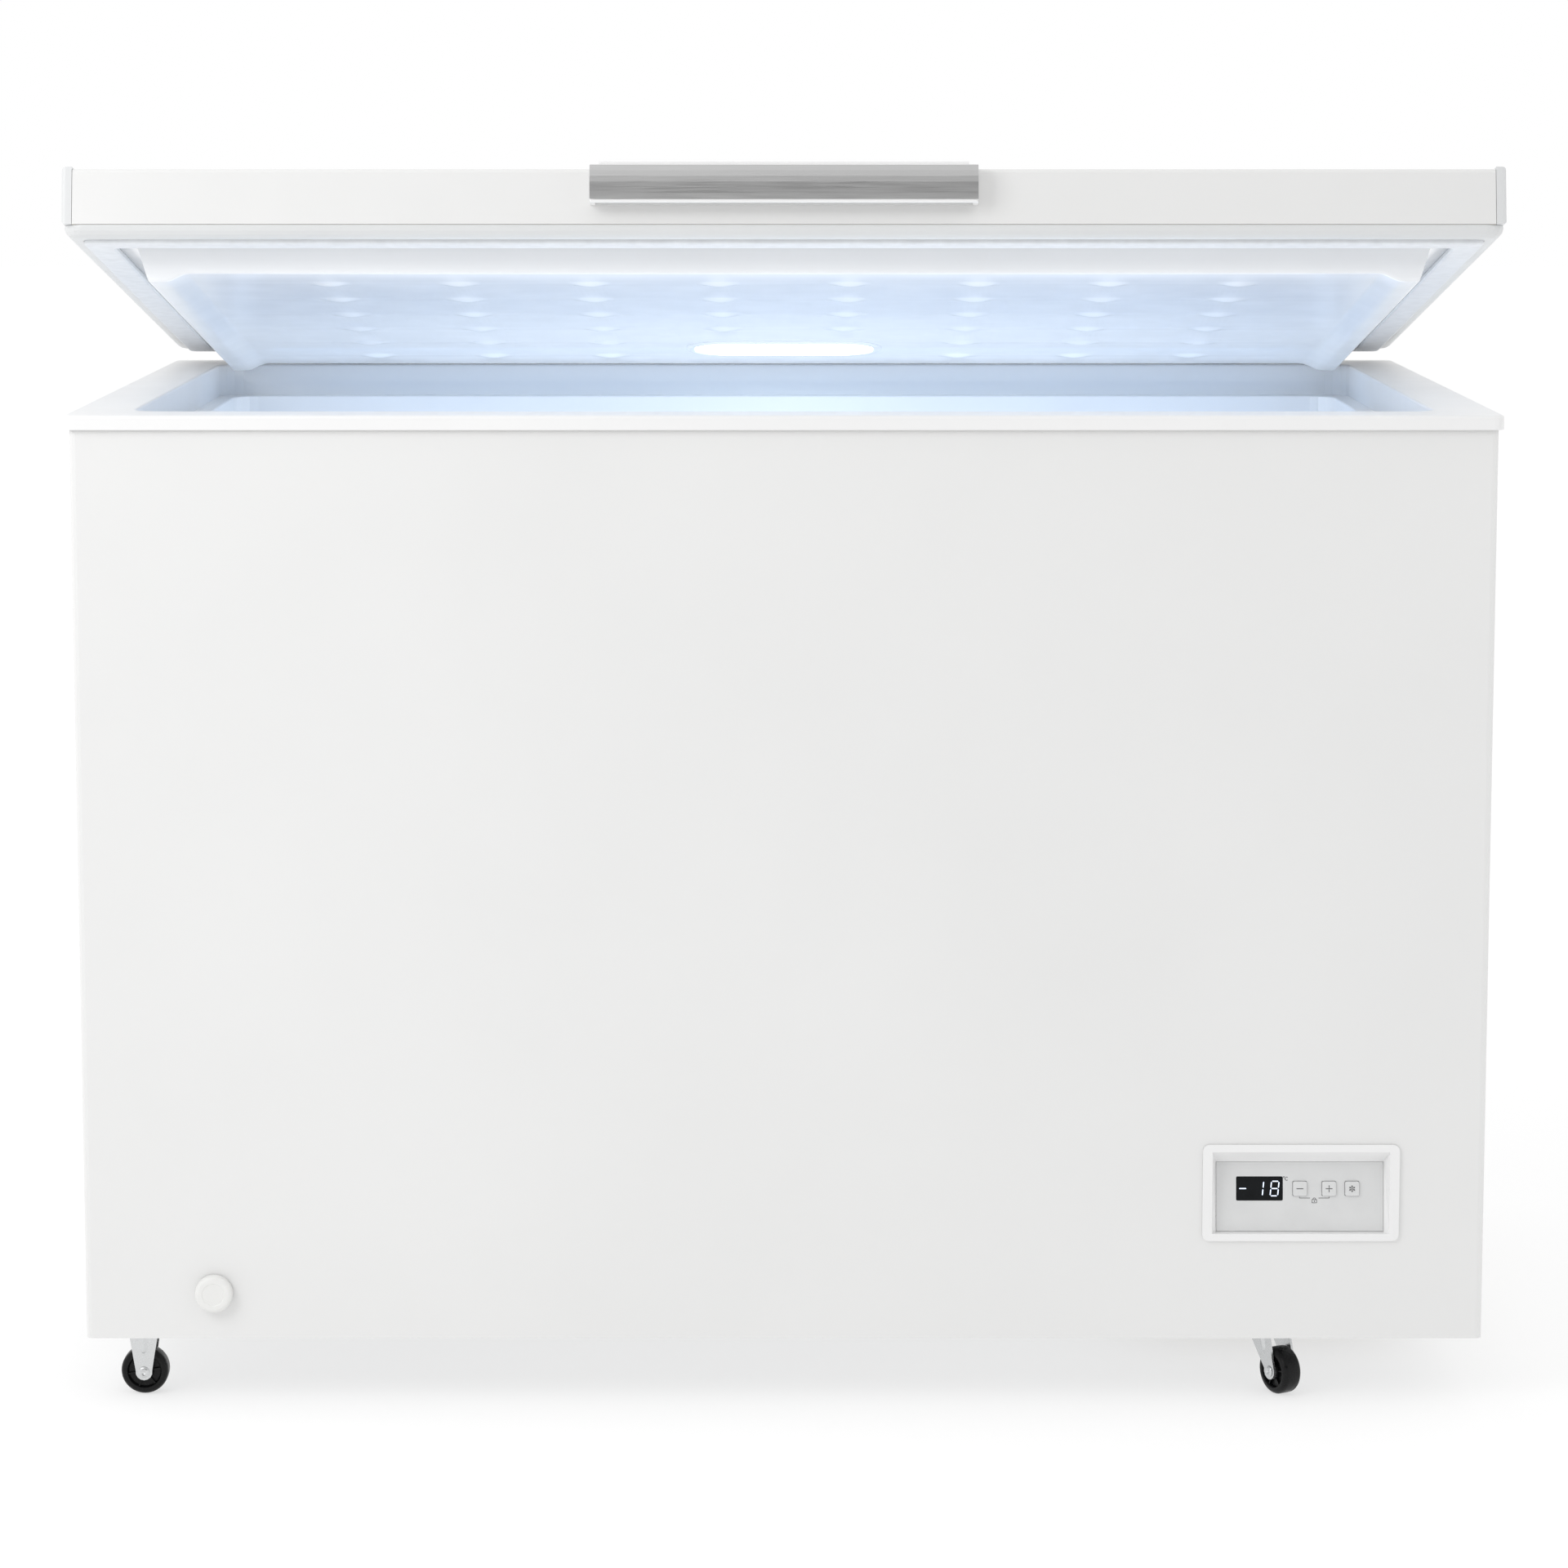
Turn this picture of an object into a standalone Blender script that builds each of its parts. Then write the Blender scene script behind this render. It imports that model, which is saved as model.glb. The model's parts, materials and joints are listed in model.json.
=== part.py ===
"""A 1.12 m chest freezer on four casters, with its lid standing a little way open.

Metres, +Z up, +X to the right seen from the front, and the front faces -Y. The origin is on the
floor under the middle of the bounding box. The lid is modelled shut and then turned on its hinge.
"""
import math

import bmesh
import bpy
from mathutils import Matrix, Vector

# Whole cabinet
WIDTH = 1.120
RIM_DEPTH = 0.662
RIM_Z = 0.793
BODY_Z = 0.056
GAP = 0.0003
SHEET = 0.001
SHELL_INSET = 0.004
SHELL_BEND = 0.005

# Hinge
HINGE_X = 0.400
PIVOT_BEHIND = 0.025
PIVOT_ABOVE = 0.015
KNUCKLE_R = 0.012
LID_OPEN = math.radians(11.2)
LID_TRAVEL = math.radians(75.0)
CAM_SHUT_R = 0.022
CAM_OPEN_R = 0.012
PLUNGER_CLEAR = 0.0012

# Collar round the opening
WALL_SIDE = 0.0485
WALL_FRONT = 0.044
WALL_BACK = 0.057
LIP_H = 0.0114
LIP_T = 0.0022
COLLAR_T = 0.0025
COLLAR_DROP = 0.028
LEDGE = 0.015
SKIRT = 0.015

# Tub and compressor bay
FLOOR_Z = 0.116
STEP_X = 0.235
STEP_Z = 0.360
TUB_R = 0.020
BAY_X = 0.285
BAY_Z = 0.312
VENT_X = (0.305, 0.505)
VENT_Y = (-0.180, -0.060)
GRILLE_Y = (-0.050, 0.200)
GRILLE_Z = (0.100, 0.270)
GRILLE_BORDER = 0.0085
COVER_VENT_Z = (0.140, 0.260)
GLAND_X = 0.330
GLAND_Z = 0.100
GLAND_R = 0.0082
COMPRESSOR = (0.420, 0.165)
COMPRESSOR_FOOT = (0.075, 0.055, 0.0165)
TUBE_R = 0.004

# Lid
LID_LIFT = 0.004
LID_T = 0.0535
MOULDING_H = 0.010
CAP_W = 0.008
SKIN_T = 0.0008
PLUG_CLEAR = 0.0035
PLUG_DRAFT = 0.008
PANEL_DROP = 0.021
RIDGE_DROP = 0.0275
RIDGE_W = 0.013
RIDGE_SLOPE = 0.020
LINER_T = 0.0015
GASKET_OUT = 0.015
GASKET_IN = 0.0365
LAMP_W = 0.156
LAMP_D = 0.076
LAMP_Y = 0.145
LENS_OUT = 0.0018

# Handle
HANDLE_W = 0.300
HANDLE_OUT = 0.016
HANDLE_H = 0.029
HANDLE_RISE = 0.0036
TRIM_H = 0.0265

# Control panel
PANEL_X = 0.410
PANEL_Z = BODY_Z + 0.119
PANEL_W = 0.156
PANEL_H = 0.078
FASCIA_W = 0.1334
FASCIA_H = 0.0564
FASCIA_DOWN = 0.0050
FASCIA_DEPTH = 0.0065
FASCIA_TILT = math.radians(6.8)
BUTTON_W = 0.0110
BUTTON_H = 0.0115
BUTTON_R = 0.0012
BUTTONS = {"button_minus": 0.0, "button_plus": 0.0232, "button_super": 0.0415}
CONTROLS_UP = 0.0064
DISPLAY_X = -0.032
DISPLAY_W = 0.0366
DISPLAY_H = 0.0187
DISPLAY_R = 0.0011
BOARD_W = 0.116
BOARD_H = 0.046
BEZEL_OUT = 0.0022
MOUTH_W = 0.141
MOUTH_H = 0.0666

# Drain
DRAIN_X = -0.453
DRAIN_Z = BODY_Z + 0.038
DIAL_R = 0.015
DIAL_OUT = 0.010
DRAIN_R = 0.0095
BORE_R = 0.0075
OUTLET_R = 0.0065

# Casters
WHEEL_R = 0.019
WHEEL_W = 0.017
LEG_T = 0.002
LEG_END_R = 0.0067
LEG_SHOULDER_Z = 0.0465
AXLE_R = 0.0025
FIXED_X = -0.515
SWIVEL_X = 0.3915
FIXED_IN = 0.046
SWIVEL_IN = 0.058
TRAIL = 0.017
SWIVEL_TURN = math.radians(-60.0)

# Worked out from the above
HALF_W = WIDTH / 2
FRONT = -(RIM_DEPTH + PIVOT_BEHIND + KNUCKLE_R - (DIAL_OUT - SHELL_INSET)) / 2
BACK = FRONT + RIM_DEPTH
SHELL_X = HALF_W - SHELL_INSET
SHELL_FRONT = FRONT + SHELL_INSET
SHELL_BACK = BACK - SHELL_INSET
PIVOT = Vector((0.0, BACK + PIVOT_BEHIND, RIM_Z + PIVOT_ABOVE))
OPEN_X = HALF_W - WALL_SIDE
OPEN_FRONT = FRONT + WALL_FRONT
OPEN_BACK = BACK - WALL_BACK
TUB_TOP = RIM_Z - COLLAR_DROP - SKIRT
LID_Z = RIM_Z + LID_LIFT
LID_TOP = LID_Z + LID_T
RIDGE_Z = LID_Z - RIDGE_DROP
PANEL_UNDER = LID_Z - PANEL_DROP

# Colour, roughness, metallic
FINISHES = {
    "white_steel": ((0.86, 0.86, 0.85), 0.35, 0.0),
    "white_plastic": ((0.84, 0.85, 0.86), 0.40, 0.0),
    "grey_plastic": ((0.55, 0.56, 0.58), 0.50, 0.0),
    "black_plastic": ((0.03, 0.03, 0.035), 0.45, 0.0),
    "foam": ((0.85, 0.78, 0.55), 0.95, 0.0),
    "aluminium": ((0.75, 0.77, 0.80), 0.38, 1.0),
    "copper": ((0.72, 0.40, 0.26), 0.35, 1.0),
    "zinc": ((0.60, 0.61, 0.63), 0.40, 1.0),
    "brushed": ((0.62, 0.62, 0.62), 0.30, 1.0),
    "board": ((0.04, 0.22, 0.10), 0.60, 0.0),
    "display": ((0.02, 0.03, 0.06), 0.15, 0.0),
    "lamp": ((0.90, 0.95, 1.00), 0.30, 0.0),
    "rubber": ((0.04, 0.04, 0.04), 0.80, 0.0),
    "seal": ((0.62, 0.64, 0.67), 0.70, 0.0),
}


def clear_scene():
    for thing in list(bpy.data.objects):
        bpy.data.objects.remove(thing, do_unlink=True)


def collection(name):
    made = bpy.data.collections.new(name)
    bpy.context.scene.collection.children.link(made)
    return made


clear_scene()
PARTS = collection("chest_freezer")
CUTTERS = collection("cutters")


# ---------------------------------------------------------------- building blocks


def add(name, mesh):
    thing = bpy.data.objects.new(name, mesh)
    PARTS.objects.link(thing)
    return thing


def from_bmesh(name, bm):
    mesh = bpy.data.meshes.new(name)
    bm.to_mesh(mesh)
    bm.free()
    return add(name, mesh)


def paint(thing, finish, smooth_angle=None):
    """Gives the piece its own material, and soft shading where it is round."""
    colour, roughness, metallic = FINISHES[finish]
    material = bpy.data.materials.new(thing.name)
    material.use_nodes = True
    shader = material.node_tree.nodes["Principled BSDF"]
    shader.inputs["Base Color"].default_value = (*colour, 1.0)
    shader.inputs["Roughness"].default_value = roughness
    shader.inputs["Metallic"].default_value = metallic
    thing.data.materials.append(material)
    if smooth_angle is not None:
        thing.data.shade_smooth()
        thing.data.set_sharp_from_angle(angle=math.radians(smooth_angle))
    return thing


def box(name, low, high):
    low = Vector(low)
    high = Vector(high)
    bm = bmesh.new()
    bmesh.ops.create_cube(bm, size=1.0)
    bmesh.ops.scale(bm, vec=high - low, verts=bm.verts)
    bmesh.ops.translate(bm, vec=(low + high) / 2, verts=bm.verts)
    return from_bmesh(name, bm)


def round_edges(thing, radius, segments, wanted):
    """Rounds the edges whose two ends satisfy wanted(a, b)."""
    bm = bmesh.new()
    bm.from_mesh(thing.data)
    edges = [e for e in bm.edges if wanted(e.verts[0].co, e.verts[1].co)]
    bmesh.ops.bevel(bm, geom=edges, offset=radius, segments=segments, profile=0.5, affect="EDGES")
    bm.to_mesh(thing.data)
    bm.free()
    return thing


def along(axis):
    """A test for edges parallel to the axis, 0 for X, 1 for Y and 2 for Z."""
    others = [i for i in range(3) if i != axis]
    return lambda a, b: all(abs(a[i] - b[i]) < 1e-5 for i in others)


def rounded_box(name, low, high, radius, axis=2, segments=3):
    return round_edges(box(name, low, high), radius, segments, along(axis))


def turn_matrix(axis):
    """Carries a piece made along Z to lie along X, Y or Z."""
    if axis == "X":
        return Matrix.Rotation(math.pi / 2, 4, "Y")
    if axis == "Y":
        return Matrix.Rotation(math.pi / 2, 4, "X")
    return Matrix.Identity(4)


def cylinder(name, centre, radius, length, axis="Z", segments=24):
    bm = bmesh.new()
    bmesh.ops.create_cone(
        bm, cap_ends=True, segments=segments, radius1=radius, radius2=radius, depth=length
    )
    bm.transform(Matrix.Translation(centre) @ turn_matrix(axis))
    return from_bmesh(name, bm)


def turned(name, profile, centre, axis="Z", steps=24, ring=False):
    """A turned piece. The profile lists (radius, height) down its outer side, top to bottom."""
    mesh = bpy.data.meshes.new(name)
    edges = [(i, i + 1) for i in range(len(profile) - 1)]
    if ring:
        edges.append((len(profile) - 1, 0))
    mesh.from_pydata([(r, 0.0, z) for r, z in profile], edges, [])
    thing = add(name, mesh)
    thing.matrix_world = Matrix.Translation(centre) @ turn_matrix(axis)
    screw = thing.modifiers.new("turn", "SCREW")
    screw.steps = steps
    screw.render_steps = steps
    screw.use_merge_vertices = True
    screw.merge_threshold = 0.00001
    screw.use_smooth_shade = True
    return thing


def mesh_from_curve(name, curve, matrix):
    """The curve as a closed mesh in place."""
    holder = bpy.data.objects.new(name, curve)
    PARTS.objects.link(holder)
    bpy.context.view_layer.update()
    mesh = bpy.data.meshes.new_from_object(holder.evaluated_get(bpy.context.evaluated_depsgraph_get()))
    bpy.data.objects.remove(holder, do_unlink=True)
    mesh.transform(matrix)
    bm = bmesh.new()
    bm.from_mesh(mesh)
    bmesh.ops.remove_doubles(bm, verts=bm.verts, dist=0.00001)
    bm.to_mesh(mesh)
    bm.free()
    mesh.name = name
    return add(name, mesh)


def prism(name, outline, start, end, axis):
    """A flat outline carried from start to end along an axis.

    The outline lists (y, z) for axis X, (x, z) for axis Y and (x, y) for axis Z.
    """
    curve = bpy.data.curves.new(name, "CURVE")
    curve.dimensions = "2D"
    curve.fill_mode = "BOTH"
    curve.extrude = (end - start) / 2
    spline = curve.splines.new("POLY")
    spline.points.add(len(outline) - 1)
    for point, (a, b) in zip(spline.points, outline):
        point.co = (a, b, 0.0, 1.0)
    spline.use_cyclic_u = True
    middle = (start + end) / 2
    frames = {
        "X": Matrix(((0, 0, 1, middle), (1, 0, 0, 0), (0, 1, 0, 0), (0, 0, 0, 1))),
        "Y": Matrix(((1, 0, 0, 0), (0, 0, -1, middle), (0, 1, 0, 0), (0, 0, 0, 1))),
        "Z": Matrix.Translation((0, 0, middle)),
    }
    return mesh_from_curve(name, curve, frames[axis])


def tube(name, route, radius, resolution=2):
    """A round tube or wire through the points of the route."""
    curve = bpy.data.curves.new(name, "CURVE")
    curve.dimensions = "3D"
    curve.bevel_depth = radius
    curve.bevel_resolution = resolution
    curve.use_fill_caps = True
    spline = curve.splines.new("POLY")
    spline.points.add(len(route) - 1)
    for point, place in zip(spline.points, route):
        point.co = (*place, 1.0)
    return mesh_from_curve(name, curve, Matrix.Identity(4))


def ring_points(half_x, front, back, radius, z, segments=4):
    """A rounded rectangle, anticlockwise seen from above, from its front right corner."""
    corners = (
        (half_x - radius, front + radius, -90),
        (half_x - radius, back - radius, 0),
        (radius - half_x, back - radius, 90),
        (radius - half_x, front + radius, 180),
    )
    points = []
    for x, y, start in corners:
        for step in range(segments + 1):
            angle = math.radians(start + 90 * step / segments)
            points.append((x + radius * math.cos(angle), y + radius * math.sin(angle), z))
    return points


def loft(name, rings, hollow):
    """Skins the rings one after another. A hollow frame closes on its first ring, and a solid
    block gets a floor and a top instead."""
    bm = bmesh.new()
    loops = [[bm.verts.new(p) for p in ring] for ring in rings]
    pairs = list(zip(loops, loops[1:]))
    if hollow:
        pairs.append((loops[-1], loops[0]))
    else:
        bm.faces.new(list(reversed(loops[0])))
        bm.faces.new(loops[-1])
    count = len(loops[0])
    for lower, upper in pairs:
        for i in range(count):
            j = (i + 1) % count
            bm.faces.new((lower[i], lower[j], upper[j], upper[i]))
    return from_bmesh(name, bm)


def combine(thing, other, operation):
    """Cuts the other piece out of this one, or welds it on. The other becomes a guide."""
    PARTS.objects.unlink(other)
    CUTTERS.objects.link(other)
    other.hide_render = True
    other.display_type = "WIRE"
    step = thing.modifiers.new(other.name, "BOOLEAN")
    step.operation = operation
    step.solver = "EXACT"
    step.object = other
    return thing


def cut(thing, *others):
    for other in others:
        combine(thing, other, "DIFFERENCE")
    return thing


def weld(thing, *others):
    for other in others:
        combine(thing, other, "UNION")
    return thing


def empty(name, place):
    thing = bpy.data.objects.new(name, None)
    PARTS.objects.link(thing)
    thing.location = place
    return thing


def guides_of(thing):
    return [m.object for m in thing.modifiers if m.type == "BOOLEAN"]


def attach(pivot, *things):
    """Hangs pieces drawn in world coordinates, with their cutters, on an unturned pivot."""
    for thing in things:
        for piece in (thing, *guides_of(thing)):
            piece.parent = pivot
            piece.matrix_parent_inverse = Matrix.Translation(-pivot.location)


def attach_local(pivot, *things):
    """Hangs pieces drawn in the pivot's own coordinates on it, with their cutters."""
    for thing in things:
        for piece in (thing, *guides_of(thing)):
            piece.parent = pivot


# ---------------------------------------------------------------- cabinet


def make_outer_shell():
    """The front and both sides are one bent sheet, open at the top, back and bottom."""
    low = (-SHELL_X, SHELL_FRONT, BODY_Z)
    high = (SHELL_X, SHELL_BACK, RIM_Z - COLLAR_T - 2 * GAP)
    shell = box("outer_shell", low, high)
    bm = bmesh.new()
    bm.from_mesh(shell.data)
    spare = [f for f in bm.faces if abs(f.normal.z) > 0.5 or f.normal.y > 0.5]
    bmesh.ops.delete(bm, geom=spare, context="FACES")
    bends = [e for e in bm.edges if along(2)(e.verts[0].co, e.verts[1].co) and not e.is_boundary]
    bmesh.ops.bevel(bm, geom=bends, offset=SHELL_BEND, segments=3, profile=0.5, affect="EDGES")
    bm.to_mesh(shell.data)
    bm.free()
    solid = shell.modifiers.new("sheet", "SOLIDIFY")
    solid.thickness = SHEET
    solid.offset = -1.0
    tub_x = PANEL_W / 2 - 0.0035
    tub_z = PANEL_H / 2 - 0.0035
    window = box(
        "shell_panel_hole",
        (PANEL_X - tub_x, SHELL_FRONT - 0.01, PANEL_Z - tub_z),
        (PANEL_X + tub_x, SHELL_FRONT + 0.01, PANEL_Z + tub_z),
    )
    drain = cylinder(
        "shell_drain_hole", (DRAIN_X, SHELL_FRONT, DRAIN_Z), DRAIN_R + 2 * GAP, 0.02, "Y", 24
    )
    border = GRILLE_BORDER - 2 * GAP
    grille = box(
        "shell_grille_hole",
        (SHELL_X - 0.01, GRILLE_Y[0] + border, GRILLE_Z[0] + border),
        (SHELL_X + 0.01, GRILLE_Y[1] - border, GRILLE_Z[1] - border),
    )
    cut(shell, window, drain, grille)
    return paint(shell, "white_steel", 30)


def make_rear_panel():
    panel = box(
        "rear_panel",
        (-SHELL_X, SHELL_BACK + GAP, BODY_Z),
        (SHELL_X, SHELL_BACK + GAP + SHEET, RIM_Z - LIP_H - GAP),
    )
    bay = box(
        "rear_bay_hole",
        (BAY_X + 0.012, SHELL_BACK - 0.01, BODY_Z + 0.016),
        (SHELL_X - 0.016, SHELL_BACK + 0.01, BAY_Z - 0.014),
    )
    return paint(cut(panel, bay), "white_steel")


def make_base_plate():
    inside = SHEET + GAP
    plate = rounded_box(
        "base_plate",
        (inside - SHELL_X, SHELL_FRONT + inside, BODY_Z),
        (SHELL_X - inside, SHELL_BACK, BODY_Z + 0.0015),
        SHELL_BEND,
    )
    vent = box("base_vent_hole", (VENT_X[0], VENT_Y[0], 0.0), (VENT_X[1], VENT_Y[1], 0.1))
    return paint(cut(plate, vent), "zinc")


def tub_block(name, grow, top):
    """The stepped inside of the cabinet as a solid, grown outwards by a margin."""
    x = OPEN_X - LEDGE + grow
    outline = [
        (-x, top),
        (-x, FLOOR_Z - grow),
        (STEP_X + grow, FLOOR_Z - grow),
        (STEP_X + grow, STEP_Z - grow),
        (x, STEP_Z - grow),
        (x, top),
    ]
    front = OPEN_FRONT + LEDGE - grow
    back = OPEN_BACK - LEDGE + grow
    block = prism(name, outline, front, back, "Y")
    bm = bmesh.new()
    bm.from_mesh(block.data)
    bmesh.ops.dissolve_limit(bm, angle_limit=0.01, verts=bm.verts, edges=bm.edges)
    bm.to_mesh(block.data)
    bm.free()
    return round_edges(block, TUB_R, 3, lambda a, b: min(a.z, b.z) < top - 1e-4)


def make_inner_liner():
    liner = tub_block("inner_liner", 0.0, TUB_TOP - GAP)
    bm = bmesh.new()
    bm.from_mesh(liner.data)
    lids = [f for f in bm.faces if f.calc_center_median().z > TUB_TOP - 2 * GAP]
    bmesh.ops.delete(bm, geom=lids, context="FACES")
    bmesh.ops.recalc_face_normals(bm, faces=bm.faces)
    bm.to_mesh(liner.data)
    bm.free()
    solid = liner.modifiers.new("sheet", "SOLIDIFY")
    solid.thickness = SHEET
    solid.offset = 1.0
    drain = cylinder("liner_drain_hole", (DRAIN_X, drain_y(), FLOOR_Z), 0.008, 0.02)
    return paint(cut(liner, drain), "aluminium", 40)


def drain_y():
    """How far back the hole in the tub's floor is."""
    return OPEN_FRONT + LEDGE + 0.060


def make_cabinet_foam():
    inside = SHEET + 2 * GAP
    foam = rounded_box(
        "cabinet_foam",
        (inside - SHELL_X, SHELL_FRONT + inside, BODY_Z + 0.0015 + GAP),
        (SHELL_X - inside, SHELL_BACK - 0.0105, RIM_Z - COLLAR_T - GAP),
        SHELL_BEND,
    )
    collar = loft(
        "foam_collar_hole",
        [
            opening_ring(COLLAR_T + GAP, RIM_Z - COLLAR_DROP - COLLAR_T - GAP),
            opening_ring(COLLAR_T + GAP, RIM_Z + 0.02),
        ],
        False,
    )
    tub = tub_block("foam_tub_hole", 0.003, RIM_Z - COLLAR_DROP)
    coil = loft(
        "foam_coil_hole",
        [opening_ring(0.0115 - LEDGE, STEP_Z + 0.03), opening_ring(0.0115 - LEDGE, TUB_TOP - 0.03)],
        False,
    )
    bay = box(
        "foam_bay_hole",
        (BAY_X, FRONT - 0.01, 0.0),
        (HALF_W + 0.01, BACK + 0.01, BAY_Z),
    )
    drain = box(
        "foam_drain_hole",
        (DRAIN_X - 0.013, FRONT - 0.01, DRAIN_Z - 0.012),
        (DRAIN_X + 0.013, drain_y() + 0.013, FLOOR_Z + 0.01),
    )
    return paint(cut(foam, collar, tub, coil, bay, drain), "foam")


def rim_ring(inset, z, radius=0.008):
    return ring_points(HALF_W - inset, FRONT + inset, BACK - inset, max(radius - inset, 0.002), z)


def opening_ring(grow, z, radius=TUB_R):
    return ring_points(OPEN_X + grow, OPEN_FRONT - grow, OPEN_BACK + grow, radius, z)


def make_top_collar():
    """The plastic frame that hooks over the shell, turns down into the tub and steps in to a
    ledge. The rings go once round its thin section."""
    under = RIM_Z - COLLAR_T
    ledge = RIM_Z - COLLAR_DROP
    skirt = TUB_TOP
    rings = [
        rim_ring(0.0, RIM_Z - LIP_H),
        rim_ring(0.0, RIM_Z - 0.0022),
        rim_ring(0.0007, RIM_Z - 0.0007),
        rim_ring(0.0022, RIM_Z),
        opening_ring(0.002, RIM_Z),
        opening_ring(0.0006, RIM_Z - 0.0006),
        opening_ring(0.0, RIM_Z - 0.002),
        opening_ring(0.0, ledge),
        opening_ring(0.0008 - LEDGE, ledge),
        opening_ring(-LEDGE, ledge - 0.0008),
        opening_ring(-LEDGE, skirt),
        opening_ring(COLLAR_T - LEDGE, skirt),
        opening_ring(COLLAR_T - LEDGE, ledge - COLLAR_T),
        opening_ring(COLLAR_T, ledge - COLLAR_T),
        opening_ring(COLLAR_T, under),
        rim_ring(LIP_T, under),
        rim_ring(LIP_T, RIM_Z - LIP_H),
    ]
    return paint(loft("top_collar", rings, True), "white_plastic", 35)


def make_evaporator():
    """The cold tube winds round the tub above the step, inside the foam."""
    turns = 6
    z_start = STEP_Z + 0.045
    pitch = 0.048
    route = []
    for turn in range(turns):
        ring = opening_ring(0.006 - LEDGE, 0.0)
        corner = len(ring) // 4
        picked = [p for i, p in enumerate(ring) if i % corner in (0, 2, corner - 1)]
        for i, (x, y, _) in enumerate(picked):
            route.append((x, y, z_start + pitch * (turn + i / len(picked))))
    return paint(tube("evaporator_tube", route, TUBE_R), "copper", 50)


def make_condenser():
    """The warm tube runs to and fro on the inside of the rear panel."""
    runs = 6
    pitch = 0.065
    reach = 0.490
    bend = 0.012
    y = SHELL_BACK - 0.0055
    route = []
    for run in range(runs):
        z = STEP_Z + 0.02 + pitch * run
        side = -1 if run % 2 else 1
        route.append((-side * (reach - bend), y, z))
        route.append((side * (reach - bend), y, z))
        if run < runs - 1:
            route.append((side * reach, y, z + bend))
            route.append((side * reach, y, z + pitch - bend))
    return paint(tube("condenser_tube", route, 0.003), "copper", 50)


def make_compressor():
    centre = Vector((*COMPRESSOR, BODY_Z + 0.0015 + GAP))
    can = [
        (0.0, 0.190),
        (0.030, 0.187),
        (0.052, 0.174),
        (0.062, 0.150),
        (0.064, 0.100),
        (0.067, 0.098),
        (0.067, 0.092),
        (0.064, 0.090),
        (0.062, 0.045),
        (0.050, 0.022),
        (0.028, 0.014),
        (0.0, 0.013),
    ]
    body = turned("compressor", can, centre, "Z", 24)
    foot_x, foot_y, foot_z = COMPRESSOR_FOOT
    foot = rounded_box(
        "compressor_foot",
        centre + Vector((-foot_x, -foot_y, 0.0)),
        centre + Vector((foot_x, foot_y, foot_z)),
        0.012,
    )
    paint(weld(body, foot), "black_plastic")
    relay = rounded_box(
        "relay_cover",
        centre + Vector((-0.030, -0.105, 0.055)),
        centre + Vector((0.030, -0.0675, 0.120)),
        0.006,
        axis=1,
    )
    return [body, paint(relay, "black_plastic", 30)]


def slats(name, low, high, count, axis):
    """Long slots through a thin plate whose faces look along the axis, 0 for X or 1 for Y."""
    cutters = []
    pitch = (high[2] - low[2]) / count
    for i in range(count):
        z = low[2] + pitch * (i + 0.25)
        start = [low[0], low[1], z]
        end = [high[0], high[1], z + pitch * 0.5]
        start[axis] -= 0.02
        end[axis] += 0.02
        cutters.append(box(f"{name}_slot_{i}", start, end))
    return cutters


def make_service_cover():
    y = SHELL_BACK + 2 * GAP + SHEET
    low = (BAY_X + 0.002, y, BODY_Z + 0.006)
    high = (SHELL_X - 0.006, y + 0.0015, BAY_Z - 0.004)
    cover = rounded_box("service_cover", low, high, 0.006, axis=1)
    vents = slats(
        "cover", (BAY_X + 0.040, y, COVER_VENT_Z[0]), (SHELL_X - 0.050, y, COVER_VENT_Z[1]), 6, 1
    )
    gland = cylinder(
        "cover_gland_hole", (GLAND_X, y, GLAND_Z), GLAND_R + 2 * GAP, 0.02, "Y", 16
    )
    return paint(cut(cover, *vents, gland), "zinc", 30)


def make_power_gland():
    """The bush where the mains cord would enter."""
    y = SHELL_BACK + 2 * GAP + SHEET
    profile = [
        (0.0, 0.0105),
        (0.0075, 0.0105),
        (0.0090, 0.0090),
        (0.0125, 0.0048),
        (0.0125, 0.0018),
        (GLAND_R, 0.0018),
        (GLAND_R, -0.0100),
        (0.0, -0.0100),
    ]
    gland = turned("power_gland", profile, (GLAND_X, y, GLAND_Z), "Y", 16)
    gland.matrix_world = gland.matrix_world @ Matrix.Rotation(math.pi, 4, "X")
    return paint(gland, "black_plastic")


def make_side_grille():
    """A louvred grille over the compressor bay, let into the right-hand side."""
    frame = rounded_box(
        "side_grille",
        (SHELL_X + GAP, GRILLE_Y[0], GRILLE_Z[0]),
        (SHELL_X + 0.0028, GRILLE_Y[1], GRILLE_Z[1]),
        0.008,
        axis=0,
    )
    plug = box(
        "grille_plug",
        (SHELL_X - 0.006, GRILLE_Y[0] + GRILLE_BORDER, GRILLE_Z[0] + GRILLE_BORDER),
        (SHELL_X + 0.001, GRILLE_Y[1] - GRILLE_BORDER, GRILLE_Z[1] - GRILLE_BORDER),
    )
    weld(frame, plug)
    inset = 2 * GRILLE_BORDER - 0.001
    low = (SHELL_X, GRILLE_Y[0] + inset, GRILLE_Z[0] + inset)
    high = (SHELL_X, GRILLE_Y[1] - inset, GRILLE_Z[1] - inset)
    vents = slats("grille", low, high, 8, 0)
    return paint(cut(frame, *vents), "white_plastic", 30)


# ---------------------------------------------------------------- control panel


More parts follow.
